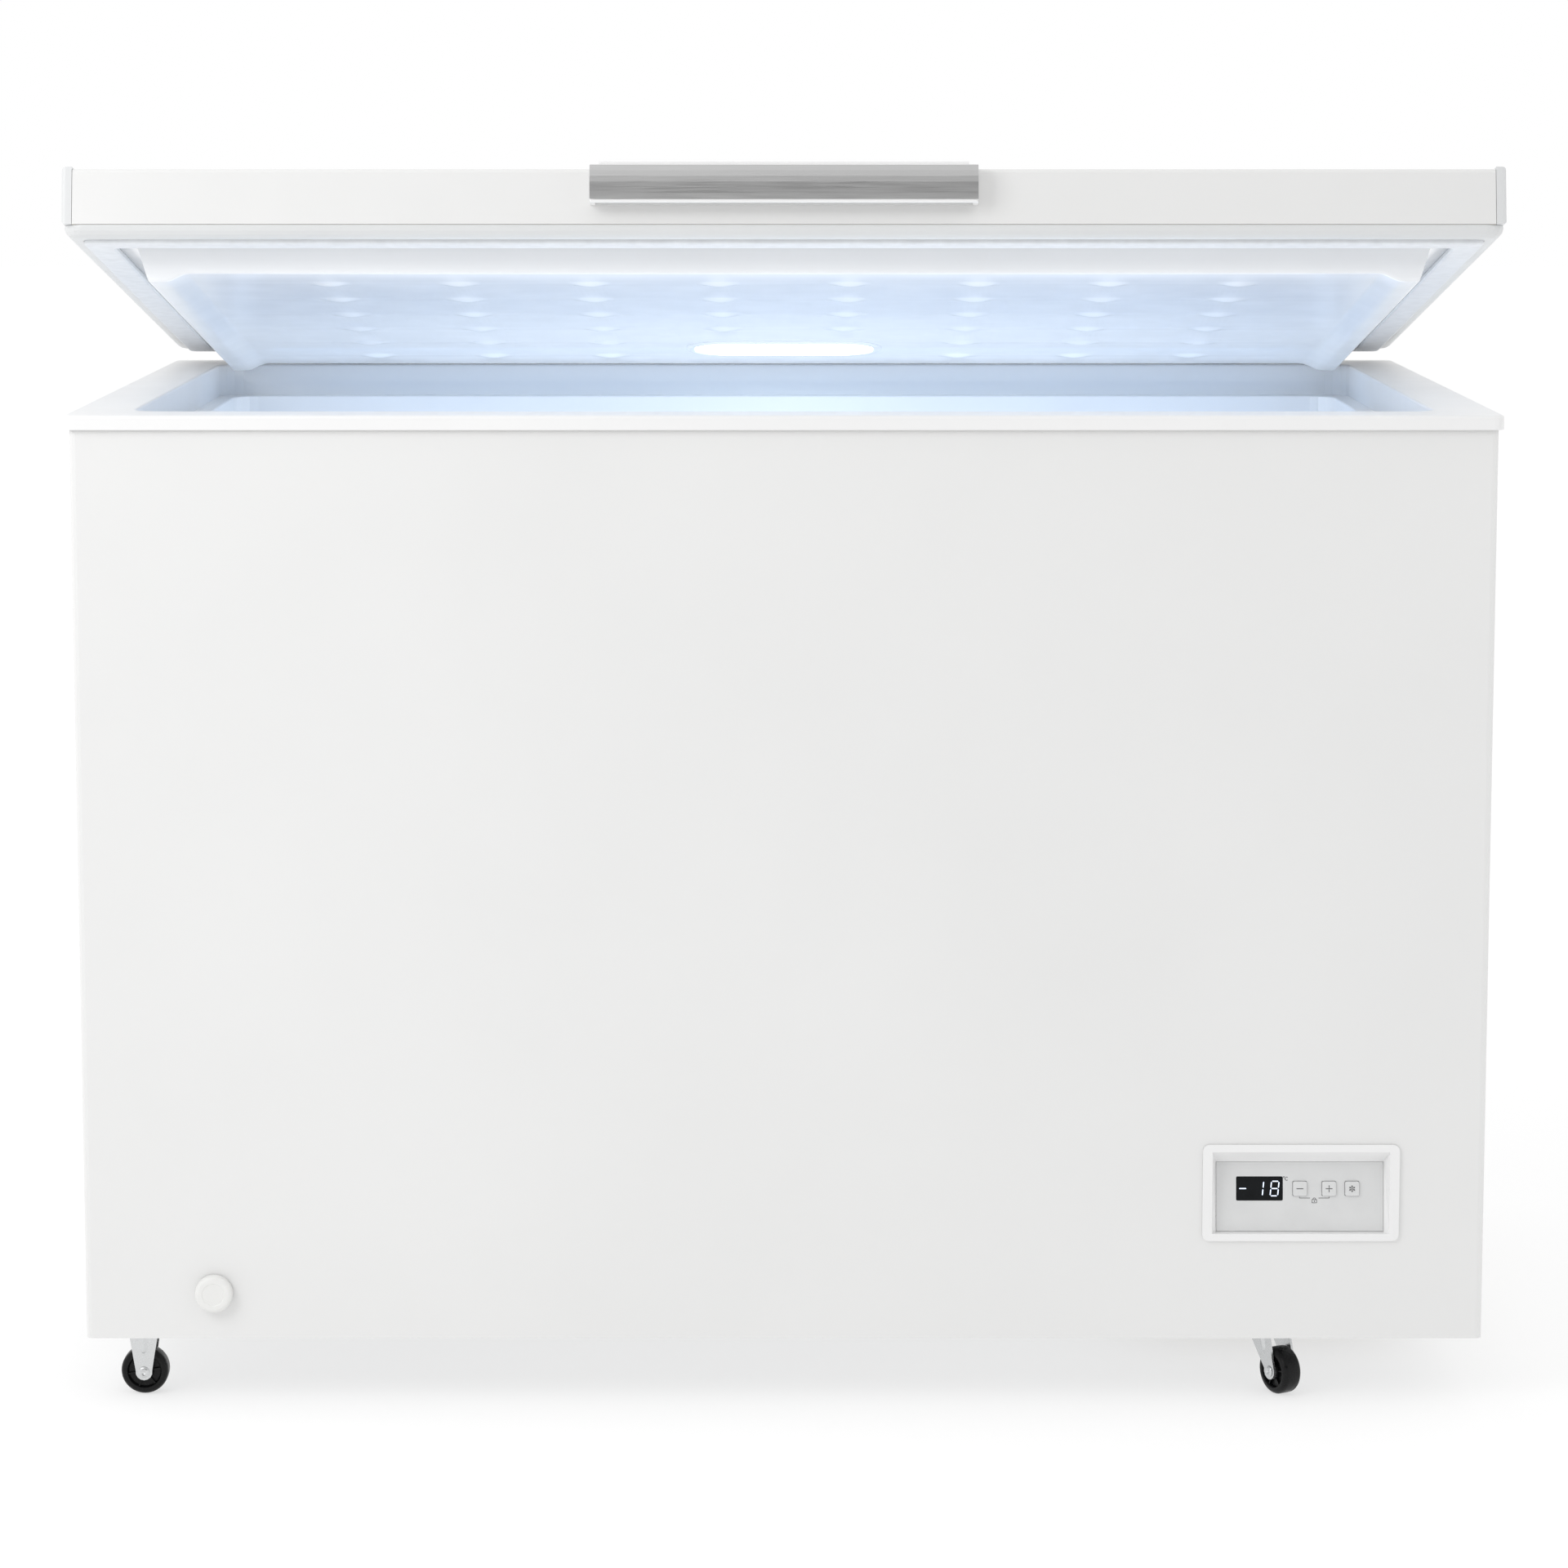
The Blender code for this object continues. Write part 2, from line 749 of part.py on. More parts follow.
def recess_cutter():
    """The sloping mouth of the bezel: wide at the front, the size of the fascia at its back."""
    bm = bmesh.new()
    bmesh.ops.create_cube(bm, size=2.0)
    half_x = FASCIA_W / 2 + 0.0002
    low = -FASCIA_DOWN - FASCIA_H / 2
    high = -FASCIA_DOWN + FASCIA_H / 2
    slope = FASCIA_H / 2 * math.tan(FASCIA_TILT)
    mouth_x = MOUTH_W / 2
    mouth_z = MOUTH_H / 2
    start = SHELL_FRONT - BEZEL_OUT - GAP
    for vert in bm.verts:
        side = vert.co.x
        top = vert.co.z > 0
        if vert.co.y < 0:
            vert.co = (PANEL_X + side * mouth_x, start, PANEL_Z + (mouth_z if top else -mouth_z))
        else:
            y = SHELL_FRONT + FASCIA_DEPTH + (slope if top else -slope)
            vert.co = (PANEL_X + side * half_x, y, PANEL_Z + (high if top else low))
    return from_bmesh("bezel_mouth", bm)


def make_bezel():
    half_x = PANEL_W / 2
    half_z = PANEL_H / 2
    bezel = rounded_box(
        "control_bezel",
        (PANEL_X - half_x, SHELL_FRONT - BEZEL_OUT, PANEL_Z - half_z),
        (PANEL_X + half_x, SHELL_FRONT - GAP, PANEL_Z + half_z),
        0.005,
        axis=1,
    )
    tub_x = half_x - 0.0038
    tub_z = half_z - 0.0038
    tub = box(
        "bezel_tub",
        (PANEL_X - tub_x, SHELL_FRONT - 0.001, PANEL_Z - tub_z),
        (PANEL_X + tub_x, SHELL_FRONT + 0.026, PANEL_Z + tub_z),
    )
    through = box(
        "bezel_through",
        (PANEL_X - FASCIA_W / 2, SHELL_FRONT, PANEL_Z - FASCIA_DOWN - FASCIA_H / 2 + GAP),
        (PANEL_X + FASCIA_W / 2, SHELL_FRONT + 0.03, PANEL_Z - FASCIA_DOWN + FASCIA_H / 2 - 2 * GAP),
    )
    return paint(cut(weld(bezel, tub), recess_cutter(), through), "white_plastic", 30)


def make_controls():
    """The fascia, display, board and buttons lean back a little together. They are drawn with
    the fascia's front face on the XZ plane, and returned with the pivot that leans them."""
    lean = empty(
        "fascia_lean", (PANEL_X, SHELL_FRONT + FASCIA_DEPTH, PANEL_Z - FASCIA_DOWN)
    )
    half_x = FASCIA_W / 2 - GAP
    half_z = FASCIA_H / 2 - 2 * GAP
    fascia = box("control_fascia", (-half_x, 0.0, -half_z), (half_x, 0.0015, half_z))
    window_x = DISPLAY_W / 2
    window_z = DISPLAY_H / 2
    cut(
        fascia,
        rounded_box(
            "fascia_display_hole",
            (DISPLAY_X - window_x - GAP, -0.01, CONTROLS_UP - window_z - GAP),
            (DISPLAY_X + window_x + GAP, 0.01, CONTROLS_UP + window_z + GAP),
            DISPLAY_R,
            axis=1,
        ),
    )
    display = rounded_box(
        "display_window",
        (DISPLAY_X - window_x, -0.0002, CONTROLS_UP - window_z),
        (DISPLAY_X + window_x, 0.0045, CONTROLS_UP + window_z),
        DISPLAY_R,
        axis=1,
    )
    board = box(
        "control_board",
        (-BOARD_W / 2, 0.0065, -BOARD_H / 2),
        (BOARD_W / 2, 0.0081, BOARD_H / 2),
    )
    buttons = []
    for name, x in BUTTONS.items():
        low = (x - BUTTON_W / 2, -0.0016, CONTROLS_UP - BUTTON_H / 2)
        high = (x + BUTTON_W / 2, 0.0050, CONTROLS_UP + BUTTON_H / 2)
        button = rounded_box(name, low, high, BUTTON_R, axis=1)
        hole = rounded_box(
            f"{name}_hole",
            (low[0] - GAP, -0.01, low[2] - GAP),
            (high[0] + GAP, 0.01, high[2] + GAP),
            BUTTON_R,
            axis=1,
        )
        cut(fascia, hole)
        buttons.append(paint(button, "grey_plastic", 30))
    paint(fascia, "grey_plastic")
    paint(display, "display")
    paint(board, "board")
    attach_local(lean, fascia, display, board, *buttons)
    lean.rotation_euler.x = -FASCIA_TILT


# ---------------------------------------------------------------- drain


def make_drain():
    """A bent pipe leads from the floor of the tub to the front, where a spout pulls out of it."""
    back = drain_y()
    bend = 0.016
    route = [(DRAIN_X, back, FLOOR_Z - SHEET - 4 * GAP)]
    for step in range(4):
        angle = math.radians(90 * step / 3)
        y = back - bend * (1 - math.cos(angle))
        z = DRAIN_Z + bend * (1 - math.sin(angle))
        route.append((DRAIN_X, y, z))
    route.append((DRAIN_X, SHELL_FRONT + GAP, DRAIN_Z))
    pipe = tube("drain_tube", route, DRAIN_R, 4)
    bore_route = [(DRAIN_X, back, FLOOR_Z + 0.01), *route[1:-1], (DRAIN_X, SHELL_FRONT - 0.01, DRAIN_Z)]
    bore = tube("drain_bore", bore_route, BORE_R, 4)
    paint(cut(pipe, bore), "white_plastic", 40)

    length = 0.045
    spout = cylinder(
        "drain_outlet",
        (DRAIN_X, SHELL_FRONT - 2 * GAP + length / 2, DRAIN_Z),
        OUTLET_R,
        length,
        "Y",
        24,
    )
    hollow = cylinder(
        "outlet_hollow",
        (DRAIN_X, SHELL_FRONT + length / 2 + 0.003, DRAIN_Z),
        OUTLET_R - 0.0012,
        length,
        "Y",
        24,
    )
    paint(cut(spout, hollow), "white_plastic", 40)

    face = DIAL_OUT
    profile = [
        (0.0, face - 0.0006),
        (0.0085, face - 0.0006),
        (0.0091, face),
        (0.0112, face),
        (0.0136, face - 0.0012),
        (DIAL_R, face - 0.0036),
        (DIAL_R, 0.0035),
        (DIAL_R - 0.0010, 3 * GAP),
        (0.0, 3 * GAP),
    ]
    dial = turned("drain_dial", profile, (DRAIN_X, SHELL_FRONT, DRAIN_Z), "Y", 32)
    paint(dial, "white_plastic")

    plug = turned(
        "liner_drain_plug",
        [
            (0.0, 0.0120),
            (0.0040, 0.0120),
            (0.0045, 0.0060),
            (0.0120, 0.0050),
            (0.0130, 0.0035),
            (0.0130, GAP),
            (0.0072, GAP),
            (0.0066, -0.0008),
            (0.0, -0.0008),
        ],
        (DRAIN_X, back, FLOOR_Z),
        "Z",
        24,
    )
    paint(plug, "rubber")


# ---------------------------------------------------------------- casters


def leg_outline(left, right, top, end_x):
    """A fork leg: straight-sided down to its shoulders, then narrower, and round at the axle."""
    points = [(left, LEG_SHOULDER_Z), (left, top), (right, top), (right, LEG_SHOULDER_Z)]
    for step in range(9):
        angle = math.radians(10 - 200 * step / 8)
        points.append(
            (end_x + LEG_END_R * math.cos(angle), WHEEL_R + LEG_END_R * math.sin(angle))
        )
    return points


def fork(name, crown_low, crown_high, left, right, end_x):
    """Two pressed legs under a flat crown."""
    inner = WHEEL_W / 2 + 0.0005
    crown = rounded_box(
        name,
        (left - 0.004, -inner - LEG_T - 0.0015, crown_low),
        (right + 0.004, inner + LEG_T + 0.0015, crown_high),
        0.003,
    )
    for side in (-1, 1):
        a = side * inner
        b = side * (inner + LEG_T)
        outline = leg_outline(left, right, crown_high - GAP, end_x)
        weld(crown, prism(f"{name}_leg_{side}", outline, min(a, b), max(a, b), "Y"))
    hole = cylinder(f"{name}_hole", (end_x, 0.0, WHEEL_R), AXLE_R + 2 * GAP, 0.05, "Y", 16)
    return cut(crown, hole)


def axle(name, end_x):
    reach = WHEEL_W / 2 + 0.0005 + LEG_T + GAP
    head = 0.0045
    thick = 0.0011
    profile = [
        (0.0, reach + thick),
        (head - 0.0008, reach + thick),
        (head, reach + thick / 2),
        (head, reach),
        (AXLE_R, reach),
        (AXLE_R, -reach),
        (head, -reach),
        (head, -reach - thick / 2),
        (head - 0.0008, -reach - thick),
        (0.0, -reach - thick),
    ]
    return paint(turned(name, profile, (end_x, 0.0, WHEEL_R), "Y", 16), "zinc")


def wheel(name, end_x):
    half = WHEEL_W / 2
    crown = 0.003
    bore = AXLE_R + 2 * GAP
    profile = [
        (WHEEL_R - crown, half),
        (WHEEL_R - 0.0008, half - crown / 3),
        (WHEEL_R, half - crown),
        (WHEEL_R, crown - half),
        (WHEEL_R - 0.0008, crown / 3 - half),
        (WHEEL_R - crown, -half),
        (bore, -half),
        (bore, half),
    ]
    return paint(turned(name, profile, (end_x, 0.0, WHEEL_R), "Y", 32, ring=True), "rubber")


def make_fixed_caster(side, y):
    """A caster that only rolls from side to side."""
    top = BODY_Z - GAP
    half = 0.0109
    pieces = [
        paint(fork(f"{side}_fork", top - LEG_T, top, -half, half, 0.0), "zinc"),
        axle(f"{side}_axle", 0.0),
        wheel(f"{side}_wheel", 0.0),
    ]
    attach_local(empty(f"{side}_caster", (FIXED_X, y, 0.0)), *pieces)


def make_swivel_caster(side, y):
    """A caster that turns about an upright stud, with its wheel trailing behind the stud."""
    top = BODY_Z - GAP
    half = 0.022
    plate = rounded_box(f"{side}_plate", (-half, -half, top - LEG_T), (half, half, top), 0.004)
    crown_high = top - LEG_T - 0.0015
    crown_low = crown_high - LEG_T
    stud = cylinder(f"{side}_stud", (0, 0, top - 0.0055), 0.004, 0.0085, "Z", 16)
    head = cylinder(f"{side}_stud_head", (0, 0, crown_low - 0.0016), 0.0068, 0.0020, "Z", 16)
    paint(weld(plate, stud, head), "zinc")
    body = fork(f"{side}_fork", crown_low, crown_high, -0.012, 0.016, TRAIL)
    cut(body, cylinder(f"{side}_fork_eye", (0, 0, crown_low), 0.0046, 0.02, "Z", 16))
    paint(body, "zinc")
    pieces = [plate, body, axle(f"{side}_axle", TRAIL), wheel(f"{side}_wheel", TRAIL)]
    swivel = empty(f"{side}_swivel", (SWIVEL_X, y, 0.0))
    attach_local(swivel, *pieces)
    swivel.rotation_euler.z = SWIVEL_TURN


# ---------------------------------------------------------------- hinges


def cam_radius(opened):
    """The cam's radius straight below the pivot once the lid has opened by an angle."""
    return CAM_SHUT_R + (CAM_OPEN_R - CAM_SHUT_R) * opened / LID_TRAVEL


def cam_outline():
    """The arm's knuckle in (y, z): an even spiral for the plunger, then round to the lid."""
    points = []
    steps = 10
    for step in range(steps + 1):
        turn = LID_TRAVEL * step / steps
        r = cam_radius(turn)
        points.append((PIVOT.y + r * math.sin(turn), PIVOT.z - r * math.cos(turn)))
    for step in range(1, 5):
        turn = LID_TRAVEL + (math.pi - LID_TRAVEL) * step / 4
        r = CAM_OPEN_R - 0.0005 * step / 4
        points.append((PIVOT.y + r * math.sin(turn), PIVOT.z - r * math.cos(turn)))
    plate_y = BACK + 0.0015
    points.append((plate_y, PIVOT.z + 0.024))
    points.append((plate_y, PIVOT.z - 0.004))
    turn = math.radians(-25)
    points.append(
        (PIVOT.y + CAM_SHUT_R * math.sin(turn), PIVOT.z - CAM_SHUT_R * math.cos(turn))
    )
    return points


def make_hinge(side, x):
    """A spring box on the back of the cabinet, and the arm on the lid that turns in it."""
    cheek = 0.019
    knuckle = 0.0155
    box_back = BACK - SHELL_INSET + 2 * GAP + SHEET
    box_low = RIM_Z - 0.135
    box_high = RIM_Z - 0.018
    base = rounded_box(
        f"hinge_base_{side}",
        (x - cheek, box_back, box_low),
        (x + cheek, PIVOT.y + 0.0115, box_high),
        0.002,
    )
    ear_front = PIVOT.y - 0.0115
    ears = [(ear_front, box_high - 0.01), (PIVOT.y + 0.0115, box_high - 0.01)]
    for step in range(9):
        angle = math.radians(180 * step / 8)
        ears.append((PIVOT.y + 0.0115 * math.cos(angle), PIVOT.z + 0.0115 * math.sin(angle)))
    for sign in (-1, 1):
        a = x + sign * (knuckle + 2 * GAP)
        b = x + sign * (cheek - GAP)
        weld(base, prism(f"hinge_ear_{side}_{sign}", ears, min(a, b), max(a, b), "X"))
    bore = cylinder(
        f"hinge_bore_{side}", (x, PIVOT.y, box_high), 0.0085, 2 * (box_high - box_low - 0.004), "Z", 24
    )
    pin_hole = cylinder(f"hinge_pin_hole_{side}", PIVOT + Vector((x, 0, 0)), 0.0043, 0.06, "X", 16)
    cut(base, bore, pin_hole)
    paint(base, "zinc", 30)

    pin = cylinder(f"hinge_pin_{side}", PIVOT + Vector((x, 0, 0)), 0.0036, 2 * cheek + 0.003, "X", 16)
    paint(pin, "zinc", 30)

    arm = prism(f"hinge_arm_{side}", cam_outline(), x - knuckle, x + knuckle, "X")
    plate = rounded_box(
        f"arm_plate_{side}",
        (x - 0.026, BACK + GAP, PIVOT.z - 0.005),
        (x + 0.026, BACK + 0.0025, LID_TOP - 0.006),
        0.004,
        axis=1,
    )
    weld(arm, plate)
    cut(arm, cylinder(f"arm_bore_{side}", PIVOT + Vector((x, 0, 0)), 0.0043, 0.08, "X", 16))
    paint(arm, "zinc", 30)

    plunger_top = PIVOT.z - cam_radius(LID_OPEN) - PLUNGER_CLEAR
    plunger_low = plunger_top - 0.046
    plunger = turned(
        f"hinge_plunger_{side}",
        [
            (0.0, 0.0),
            (0.0020, -0.0002),
            (0.0050, -0.0018),
            (0.0076, -0.0050),
            (0.0076, plunger_low - plunger_top),
            (0.0, plunger_low - plunger_top),
        ],
        (x, PIVOT.y, plunger_top),
        "Z",
        24,
    )
    paint(plunger, "black_plastic")

    spring_low = box_low + 0.004 + GAP
    spring_high = plunger_low - GAP
    turns = 6
    per_turn = 8
    wire = 0.0011
    route = []
    for step in range(turns * per_turn + 1):
        angle = 2 * math.pi * step / per_turn
        z = spring_low + wire + (spring_high - spring_low - 2 * wire) * step / (turns * per_turn)
        route.append((x + 0.0060 * math.cos(angle), PIVOT.y + 0.0060 * math.sin(angle), z))
    paint(tube(f"hinge_spring_{side}", route, wire), "zinc", 50)
    return arm


# ---------------------------------------------------------------- lid


def make_lid_skin():
    """The steel top, turned down at the front and back and open at its ends."""
    end = HALF_W - CAP_W - GAP
    skin = box("lid_skin", (-end, FRONT, LID_Z + MOULDING_H), (end, BACK, LID_TOP))
    bm = bmesh.new()
    bm.from_mesh(skin.data)
    spare = [f for f in bm.faces if f.normal.z < -0.5 or abs(f.normal.x) > 0.5]
    bmesh.ops.delete(bm, geom=spare, context="FACES")
    bends = [e for e in bm.edges if along(0)(e.verts[0].co, e.verts[1].co) and not e.is_boundary]
    bmesh.ops.bevel(bm, geom=bends, offset=0.003, segments=3, profile=0.5, affect="EDGES")
    bm.to_mesh(skin.data)
    bm.free()
    solid = skin.modifiers.new("sheet", "SOLIDIFY")
    solid.thickness = SKIN_T
    solid.offset = -1.0
    return paint(skin, "white_steel", 30)


def make_lid_trim(side, sign):
    """The plastic cap over one end of the lid."""
    inner = sign * (HALF_W - CAP_W)
    outer = sign * HALF_W
    trim = box(
        f"lid_trim_{side}",
        (min(inner, outer), FRONT - 0.0004, LID_Z + MOULDING_H),
        (max(inner, outer), BACK + 0.0002, LID_TOP + 0.0014),
    )
    round_edges(trim, 0.003, 3, lambda a, b: abs(a.x - outer) < 1e-5 and abs(b.x - outer) < 1e-5)
    return paint(trim, "white_plastic", 35)


def make_lid_frame():
    """The moulding under the steel: rounded outside, with a channel for the seal beneath."""
    top = LID_Z + MOULDING_H - GAP
    corner = 0.015
    rings = [
        rim_ring(0.0100, LID_Z, corner),
        rim_ring(0.0070, LID_Z + 0.0006, corner),
        rim_ring(0.0040, LID_Z + 0.0024, corner),
        rim_ring(0.0016, LID_Z + 0.0052, corner),
        rim_ring(0.0006, LID_Z + 0.0082, corner),
        rim_ring(0.0006, top, corner),
    ]
    frame = loft("lid_frame", rings, False)
    channel = loft(
        "frame_channel",
        [
            rim_ring(GASKET_OUT - 2 * GAP, LID_Z - 0.01, 0.022),
            rim_ring(GASKET_OUT - 2 * GAP, LID_Z + 0.0060, 0.022),
        ],
        False,
    )
    hole = loft(
        "frame_hole",
        [plug_ring(0.0015, LID_Z - 0.01), plug_ring(0.0015, LID_Z + 0.02)],
        False,
    )
    return paint(cut(frame, channel, hole), "white_plastic", 35)


def plug_ring(grow, z):
    """Round the top of the plug, where the lid's liner turns down into the opening."""
    return ring_points(
        OPEN_X - PLUG_CLEAR + grow,
        OPEN_FRONT + 2 * PLUG_CLEAR - grow,
        OPEN_BACK - 2 * PLUG_CLEAR + grow,
        grow / 2,
        z,
    )


def make_lid_gasket():
    low = RIM_Z + 2 * GAP
    high = LID_Z + 0.0055
    rings = [
        rim_ring(GASKET_OUT, high, 0.022),
        rim_ring(GASKET_OUT, low + 0.001, 0.022),
        rim_ring(GASKET_OUT + 0.002, low, 0.022),
        rim_ring(GASKET_IN - 0.002, low, 0.022 + GASKET_IN - GASKET_OUT),
        rim_ring(GASKET_IN, low + 0.001, 0.022 + GASKET_IN - GASKET_OUT),
        rim_ring(GASKET_IN, high, 0.022 + GASKET_IN - GASKET_OUT),
    ]
    return paint(loft("lid_gasket", list(reversed(rings)), True), "seal", 35)


def plug_outline(shrink, top):
    """The plug's section across the lid in (x, z): a ridge along each side, and between them a
    flat panel that is a little shallower."""
    top_x = OPEN_X - PLUG_CLEAR - shrink
    low_x = top_x - PLUG_DRAFT
    ridge_z = RIDGE_Z + shrink
    panel_z = PANEL_UNDER + shrink
    right = [(top_x, top), (top_x, LID_Z), (low_x, ridge_z + 0.002), (low_x - 0.002, ridge_z)]
    steps = 6
    start = low_x - RIDGE_W
    for step in range(steps + 1):
        t = step / steps
        rise = (1 - math.cos(math.pi * t)) / 2
        right.append((start - RIDGE_SLOPE * t, ridge_z + (panel_z - ridge_z) * rise))
    left = [(-x, z) for x, z in reversed(right)]
    return right + left


def plug_block(name, shrink, top):
    front = OPEN_FRONT + 2 * PLUG_CLEAR + shrink
    back = OPEN_BACK - 2 * PLUG_CLEAR - shrink
    return prism(name, plug_outline(shrink, top), front, back, "Y")


def slot_outline(width, depth, centre_y):
    """A lozenge with round ends, for the lamp."""
    radius = depth / 2 * 0.8
    return [
        (x, y) for x, y, _ in ring_points(width / 2, centre_y - depth / 2, centre_y + depth / 2, radius, 0.0)
    ]


def make_lid_liner():
    flange_low = LID_Z + GAP
    flange_high = flange_low + LINER_T
    liner = plug_block("lid_liner", 0.0, flange_high - 2 * GAP)
    inset = GASKET_IN + GAP
    flange = loft(
        "liner_flange",
        [rim_ring(inset, flange_low, inset + 0.012), rim_ring(inset, flange_high, inset + 0.012)],
        False,
    )
    weld(liner, flange)
    inner = plug_block("liner_inside", LINER_T, LID_Z + 0.02)
    lamp = prism(
        "liner_lamp_hole",
        slot_outline(LAMP_W + 4 * GAP, LAMP_D + 4 * GAP, LAMP_Y),
        RIDGE_Z - 0.01,
        LID_Z,
        "Z",
    )
    return paint(cut(liner, inner, lamp), "white_plastic", 30)


def make_lid_foam():
    inside = SKIN_T + GAP
    block = box(
        "lid_foam",
        (CAP_W - HALF_W + GAP, FRONT + inside + 0.001, LID_Z + MOULDING_H),
        (HALF_W - CAP_W - GAP, BACK - inside - 0.001, LID_TOP - inside - GAP),
    )
    weld(block, plug_block("foam_plug", LINER_T + GAP, LID_Z + 0.013))
    pocket = prism(
        "foam_lamp_pocket",
        slot_outline(LAMP_W + 0.006, LAMP_D + 0.006, LAMP_Y),
        RIDGE_Z - 0.01,
        PANEL_UNDER + 0.0125,
        "Z",
    )
    return paint(cut(block, pocket), "foam")


def make_lamp():
    outline = slot_outline(LAMP_W, LAMP_D, LAMP_Y)
    low = PANEL_UNDER - LENS_OUT
    lens = prism("lamp_lens", outline, low, PANEL_UNDER + 0.008, "Z")
    round_edges(lens, 0.0025, 2, lambda a, b: a.z < low + 1e-4 and b.z < low + 1e-4 and on_edge(a, b))
    board = box(
        "lamp_board",
        (-0.060, LAMP_Y - 0.022, PANEL_UNDER + 0.0083),
        (0.060, LAMP_Y + 0.022, PANEL_UNDER + 0.0099),
    )
    return [paint(lens, "lamp", 35), paint(board, "board")]


def on_edge(a, b):
    """True for the edges round the lamp's outline, not those inside its flat face."""
    middle = (a + b) / 2
    inside_x = abs(middle.x) < LAMP_W / 2 - LAMP_D * 0.4
    edge_y = abs(abs(middle.y - LAMP_Y) - LAMP_D / 2) < 1e-4
    edge_x = abs(abs(middle.x) - LAMP_W / 2) < 1e-4
    short = (a - b).length < LAMP_D * 0.4
    return edge_y and inside_x or edge_x or short


def make_handle():
    """A hooked grip across the middle of the lid's front edge, faced with a brushed strip."""
    half = HANDLE_W / 2
    body = box(
        "handle_body",
        (-half, FRONT - HANDLE_OUT, LID_TOP - HANDLE_H),
        (half, FRONT - 2 * GAP, LID_TOP + 0.0010),
    )
    round_edges(body, 0.002, 2, lambda a, b: a.y < FRONT - HANDLE_OUT + 1e-4 and b.y < FRONT - HANDLE_OUT + 1e-4)
    rise = rounded_box(
        "handle_rise",
        (0.007 - half, FRONT - HANDLE_OUT + 0.003, LID_TOP + GAP),
        (half - 0.007, FRONT + 0.024, LID_TOP + HANDLE_RISE),
        0.0015,
        axis=0,
    )
    weld(body, rise)
    pocket = box(
        "handle_pocket",
        (0.004 - half, FRONT - HANDLE_OUT + 0.0035, LID_TOP - HANDLE_H - 0.01),
        (half - 0.004, FRONT - 0.0022, LID_TOP - 0.004),
    )
    cut(body, pocket)
    paint(body, "white_plastic", 30)

    face = FRONT - HANDLE_OUT - GAP
    low = LID_TOP - TRIM_H
    steps = 6
    outline = [(face, LID_TOP), (face, low)]
    for step in range(steps + 1):
        t = step / steps
        bulge = 0.0008 + 0.0010 * math.sin(math.pi * t)
        outline.append((face - bulge, low + TRIM_H * t))
    trim = prism("handle_trim", outline, -half, half, "X")
    return [body, paint(trim, "brushed", 30)]


def make_lid(arms):
    pieces = [
        make_lid_skin(),
        make_lid_trim("left", -1),
        make_lid_trim("right", 1),
        make_lid_frame(),
        make_lid_gasket(),
        make_lid_liner(),
        make_lid_foam(),
        *make_lamp(),
        *make_handle(),
        *arms,
    ]
    pivot = empty("lid_pivot", PIVOT)
    attach(pivot, *pieces)
    pivot.rotation_euler.x = -LID_OPEN


def make_freezer():
    make_outer_shell()
    make_rear_panel()
    make_base_plate()
    make_cabinet_foam()
    make_inner_liner()
    make_top_collar()
    make_evaporator()
    make_condenser()
    make_compressor()
    make_service_cover()
    make_power_gland()
    make_side_grille()
    make_bezel()
    make_controls()
    make_drain()
    make_fixed_caster("front_left", FRONT + FIXED_IN)
    make_fixed_caster("rear_left", BACK - FIXED_IN)
    make_swivel_caster("front_right", FRONT + SWIVEL_IN)
    make_swivel_caster("rear_right", BACK - SWIVEL_IN)
    arms = [make_hinge("left", -HINGE_X), make_hinge("right", HINGE_X)]
    make_lid(arms)
    bpy.context.view_layer.update()


make_freezer()
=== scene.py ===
"""The looks of a chest freezer: its finishes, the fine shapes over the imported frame, and the studio.

Metres, +Z up, the front faces -Y. Pieces of the lid are drawn with the lid shut and then turned
on the hinge to where the frame holds it.
"""
import json
import math

import bmesh
import bpy
from mathutils import Matrix, Vector


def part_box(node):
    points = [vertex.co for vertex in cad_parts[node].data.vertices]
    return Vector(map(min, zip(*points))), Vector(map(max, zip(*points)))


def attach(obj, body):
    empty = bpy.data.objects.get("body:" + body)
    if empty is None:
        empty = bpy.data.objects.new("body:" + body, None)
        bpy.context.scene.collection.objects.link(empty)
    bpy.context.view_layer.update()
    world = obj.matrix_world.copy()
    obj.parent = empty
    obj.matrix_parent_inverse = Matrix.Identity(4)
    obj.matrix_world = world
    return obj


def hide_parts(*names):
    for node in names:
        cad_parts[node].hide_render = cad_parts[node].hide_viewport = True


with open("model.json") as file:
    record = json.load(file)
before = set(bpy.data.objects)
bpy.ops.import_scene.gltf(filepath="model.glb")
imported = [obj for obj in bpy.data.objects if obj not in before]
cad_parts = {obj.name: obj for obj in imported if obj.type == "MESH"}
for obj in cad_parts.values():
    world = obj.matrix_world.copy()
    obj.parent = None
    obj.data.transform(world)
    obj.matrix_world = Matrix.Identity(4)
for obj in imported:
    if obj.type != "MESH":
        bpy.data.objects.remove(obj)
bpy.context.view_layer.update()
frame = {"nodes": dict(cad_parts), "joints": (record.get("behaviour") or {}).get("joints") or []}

# Cabinet
HALF_W = 0.560
FRONT = -0.3465
BACK = 0.3155
GAP = 0.0003
SHELL_FRONT = -0.3425
SHELL_BACK = 0.3115

